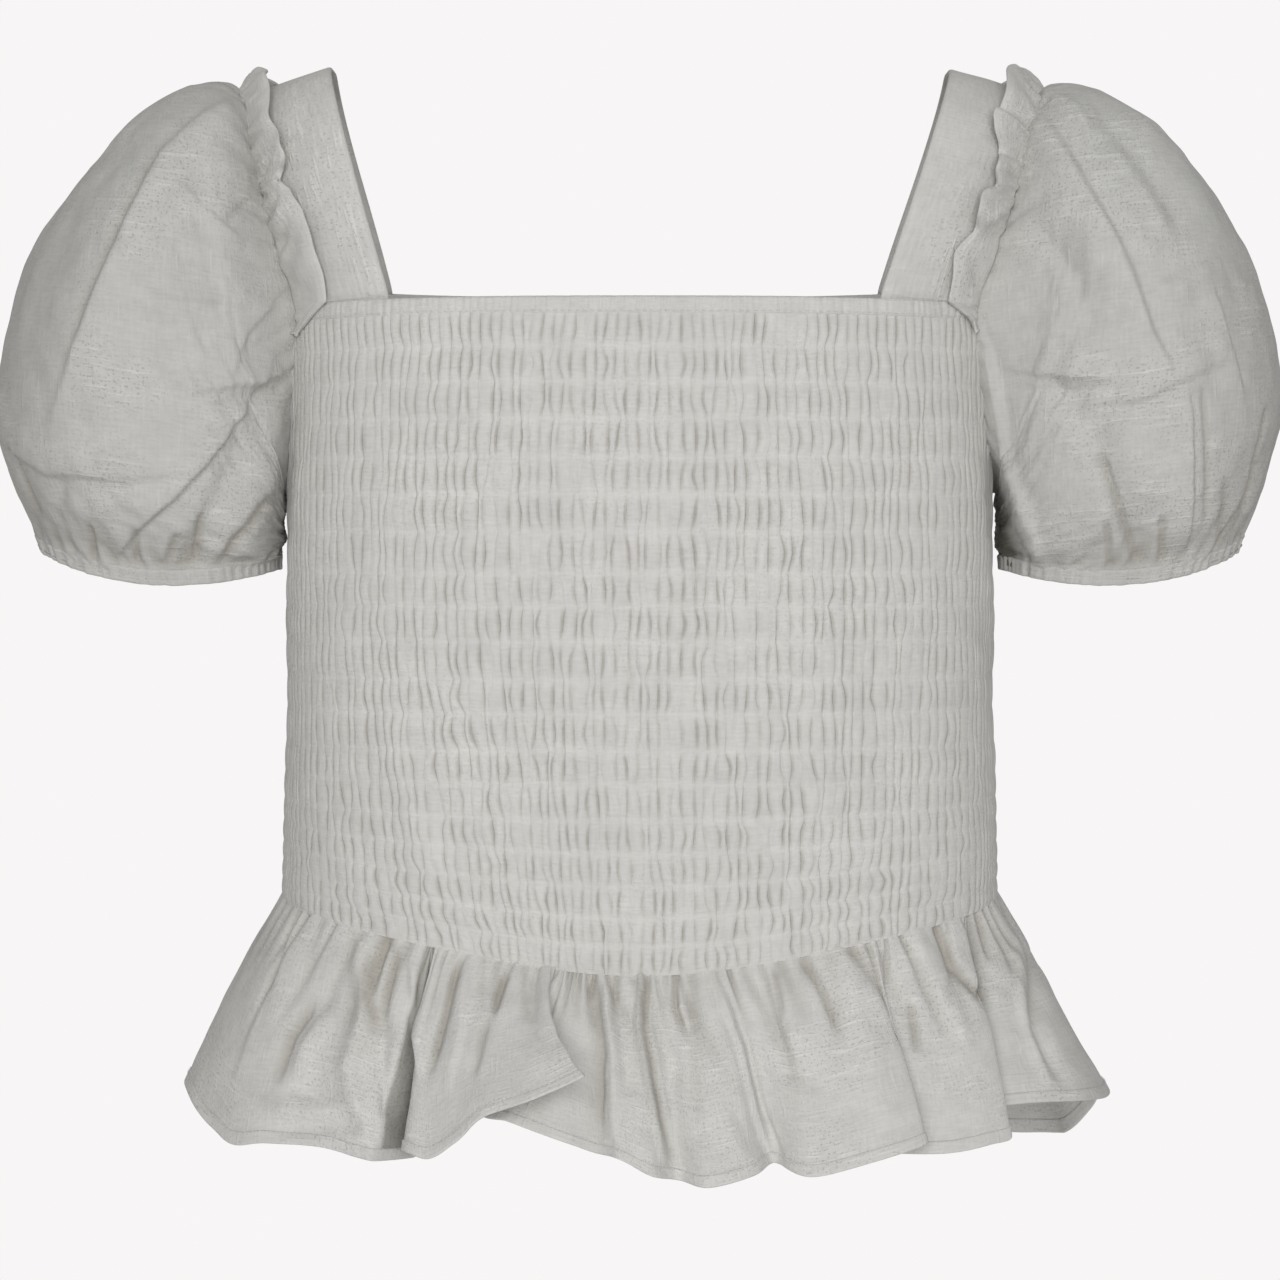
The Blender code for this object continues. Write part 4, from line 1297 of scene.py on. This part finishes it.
class TOP_OT_sleeves(bpy.types.Operator):
    """Makes the puff sleeves, their gathered hems and the stitching around the armholes"""

    bl_idname = "top.sleeves"
    bl_label = "Sleeves"

    def execute(self, context):
        around = np.linspace(0.02, 0.98, ARMHOLE_LINE_POINTS)
        for side in SIDES:
            cloth = "sleeve_gauze_shaded_cloth"
            puff = finish_piece(sleeve(side), cloth, "plain_gauze", "sleeve_" + side)
            hem = finish_piece(sleeve_hem(side), cloth, "plain_gauze", "sleeve_hem_" + side)

            def place(across, down, side=side):
                return sleeve_surface(side, across, down)

            line = line_on(place, around, ARMHOLE_STITCHES_DOWN, 0.0001, rolled=True)
            seam = stitches("armhole_stitches_" + side, line, mirrored=side == "right")
            finish_piece(seam, "sewing_thread", "plain_gauze")
        return {"FINISHED"}


class TOP_OT_frills(bpy.types.Operator):
    """Makes the frills that stand on the armhole seams, over the straps"""

    bl_idname = "top.frills"
    bl_label = "Frills"

    def execute(self, context):
        for side in SIDES:
            ruffle = finish_piece(frill(side), "plain_gauze_cloth", "plain_gauze", "sleeve_frill_" + side)
        return {"FINISHED"}


class TOP_OT_peplum(bpy.types.Operator):
    """Makes the gathered peplum, front and back, with its turned and stitched hem"""

    bl_idname = "top.peplum"
    bl_label = "Peplum"

    def execute(self, context):
        halves = (
            ("front", PEPLUM_FRONT, PEPLUM_FRONT_CREASES, 21),
            ("back", PEPLUM_BACK, PEPLUM_BACK_CREASES, 22),
        )
        across = np.linspace(0, 1, HEM_LINE_POINTS)
        down = 1 - PEPLUM_STITCHES_UP * PEPLUM_HEM_WIDTH / PEPLUM_HEM_SCALE
        for name, folds, seen, seed in halves:
            skirt = peplum("peplum_cloth_" + name, folds, seen, seed)
            finish_piece(skirt, "plain_gauze_cloth", "plain_gauze", "peplum_" + name)
            hem = peplum_hem("peplum_hem_" + name, folds, seen, seed)
            finish_piece(hem, "plain_gauze_cloth", "plain_gauze")
            place = peplum_place(folds)
            level = np.full(HEM_LINE_POINTS, down)
            raised = peplum_relief(seen, seed)(across, level, place(across, level))
            seam = stitches("peplum_stitches_" + name, line_on(place, across, down, raised + 0.0007))
            finish_piece(seam, "sewing_thread", "plain_gauze")
        return {"FINISHED"}


class TOP_OT_stage(bpy.types.Operator):
    """Makes the camera, the soft lights, the pale backdrop and the floor"""

    bl_idname = "top.stage"
    bl_label = "Stage"

    def execute(self, context):
        settings = context.scene.top_stage
        scene = context.scene
        scene.view_settings.view_transform = "Standard"
        camera = linked("camera", bpy.data.cameras.new("camera"))
        camera.data.lens = settings.focal_length
        camera.data.sensor_width = 36
        camera.data.shift_y = CAMERA_SHIFT
        camera.location = CAMERA_PLACE
        camera.rotation_euler = (math.pi / 2, 0, 0)
        scene.camera = camera
        self.light("front_light", (0, -2.4, 0.12), 1.5, settings.key_power)
        world = bpy.data.worlds.new("studio")
        scene.world = world
        shader = Shader(world)
        backdrop = opaque(settings.backdrop_colour)
        even, seen = (
            shader.node("ShaderNodeBackground", None, {"Color": colour, "Strength": strength})
            for colour, strength in (((1, 1, 1, 1), settings.sky_strength), (backdrop, 1.0))
        )
        self.end_mixed(shader, "ShaderNodeOutputWorld", self.seen_rays(shader), even, seen)
        self.floor(backdrop)
        return {"FINISHED"}

    @staticmethod
    def seen_rays(shader):
        path = shader.node("ShaderNodeLightPath")
        camera, glossy, through = (
            Wire(shader, path.outputs[f"Is {kind} Ray"]) for kind in ("Camera", "Glossy", "Transmission")
        )
        return camera + glossy + through

    @staticmethod
    def end_mixed(shader, output, factor, first, second):
        sockets = {0: factor, 1: first.outputs[0], 2: second.outputs[0]}
        mixed = shader.node("ShaderNodeMixShader", None, sockets)
        shader.node(output, None, {"Surface": mixed.outputs[0]})

    @staticmethod
    def light(name, location, size, power):
        lamp = bpy.data.lights.new(name, "AREA")
        lamp.shape = "DISK"
        lamp.size = size
        lamp.energy = power
        lit = linked(name, lamp)
        lit.location = location
        lit.rotation_euler = (Vector((0, 0, -0.2)) - lit.location).to_track_quat("-Z", "Y").to_euler()

    def floor(self, colour):
        disc = bmesh.new()
        bmesh.ops.create_circle(disc, cap_ends=True, segments=96, radius=0.8)
        bmesh.ops.translate(disc, verts=disc.verts, vec=(0, 0, SOLID_BOUNDS[0].z - FLOOR_DROP))
        floor = made_object("floor", disc)
        material = bpy.data.materials.new("pale_floor")
        shader = Shader(material)
        matt = shader.node("ShaderNodeBsdfDiffuse", None, {"Color": colour})
        glow = shader.node("ShaderNodeEmission", None, {"Color": colour, "Strength": 1.0})
        self.end_mixed(shader, "ShaderNodeOutputMaterial", self.seen_rays(shader) * 0.8, matt, glow)
        floor.data.materials.append(material)
        floor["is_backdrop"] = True


OPERATORS = (
    TOP_OT_materials, TOP_OT_shirred_panels, TOP_OT_straps, TOP_OT_sleeves, TOP_OT_frills, TOP_OT_peplum,
    TOP_OT_stage,
)


class TOP_PT_pieces(bpy.types.Panel):
    bl_idname = "TOP_PT_pieces"
    bl_label = "Shirred top"
    bl_space_type = "VIEW_3D"
    bl_region_type = "UI"
    bl_category = "Shirred top"

    def draw(self, context):
        for settings in (context.scene.top_cloth, context.scene.top_stage):
            for name in settings.__annotations__:
                self.layout.prop(settings, name)
        for operator in OPERATORS:
            self.layout.operator(operator.bl_idname)


CLASSES = (ClothSettings, StageSettings, *OPERATORS, TOP_PT_pieces)


def register():
    for part in CLASSES:
        bpy.utils.register_class(part)
    bpy.types.Scene.top_cloth = bpy.props.PointerProperty(type=ClothSettings)
    bpy.types.Scene.top_stage = bpy.props.PointerProperty(type=StageSettings)


def unregister():
    del bpy.types.Scene.top_stage
    del bpy.types.Scene.top_cloth
    for part in reversed(CLASSES):
        bpy.utils.unregister_class(part)


def corners(bounds):
    return [[float(value) for value in corner] for corner in bounds]


def main():
    register()
    bpy.ops.top.materials()
    bpy.ops.top.shirred_panels()
    bpy.ops.top.straps()
    bpy.ops.top.sleeves()
    bpy.ops.top.frills()
    bpy.ops.top.peplum()
    bpy.ops.top.stage()
    {"solid": corners(SOLID_BOUNDS), "visual": corners(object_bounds())}


if __name__ == "__main__":
    main()
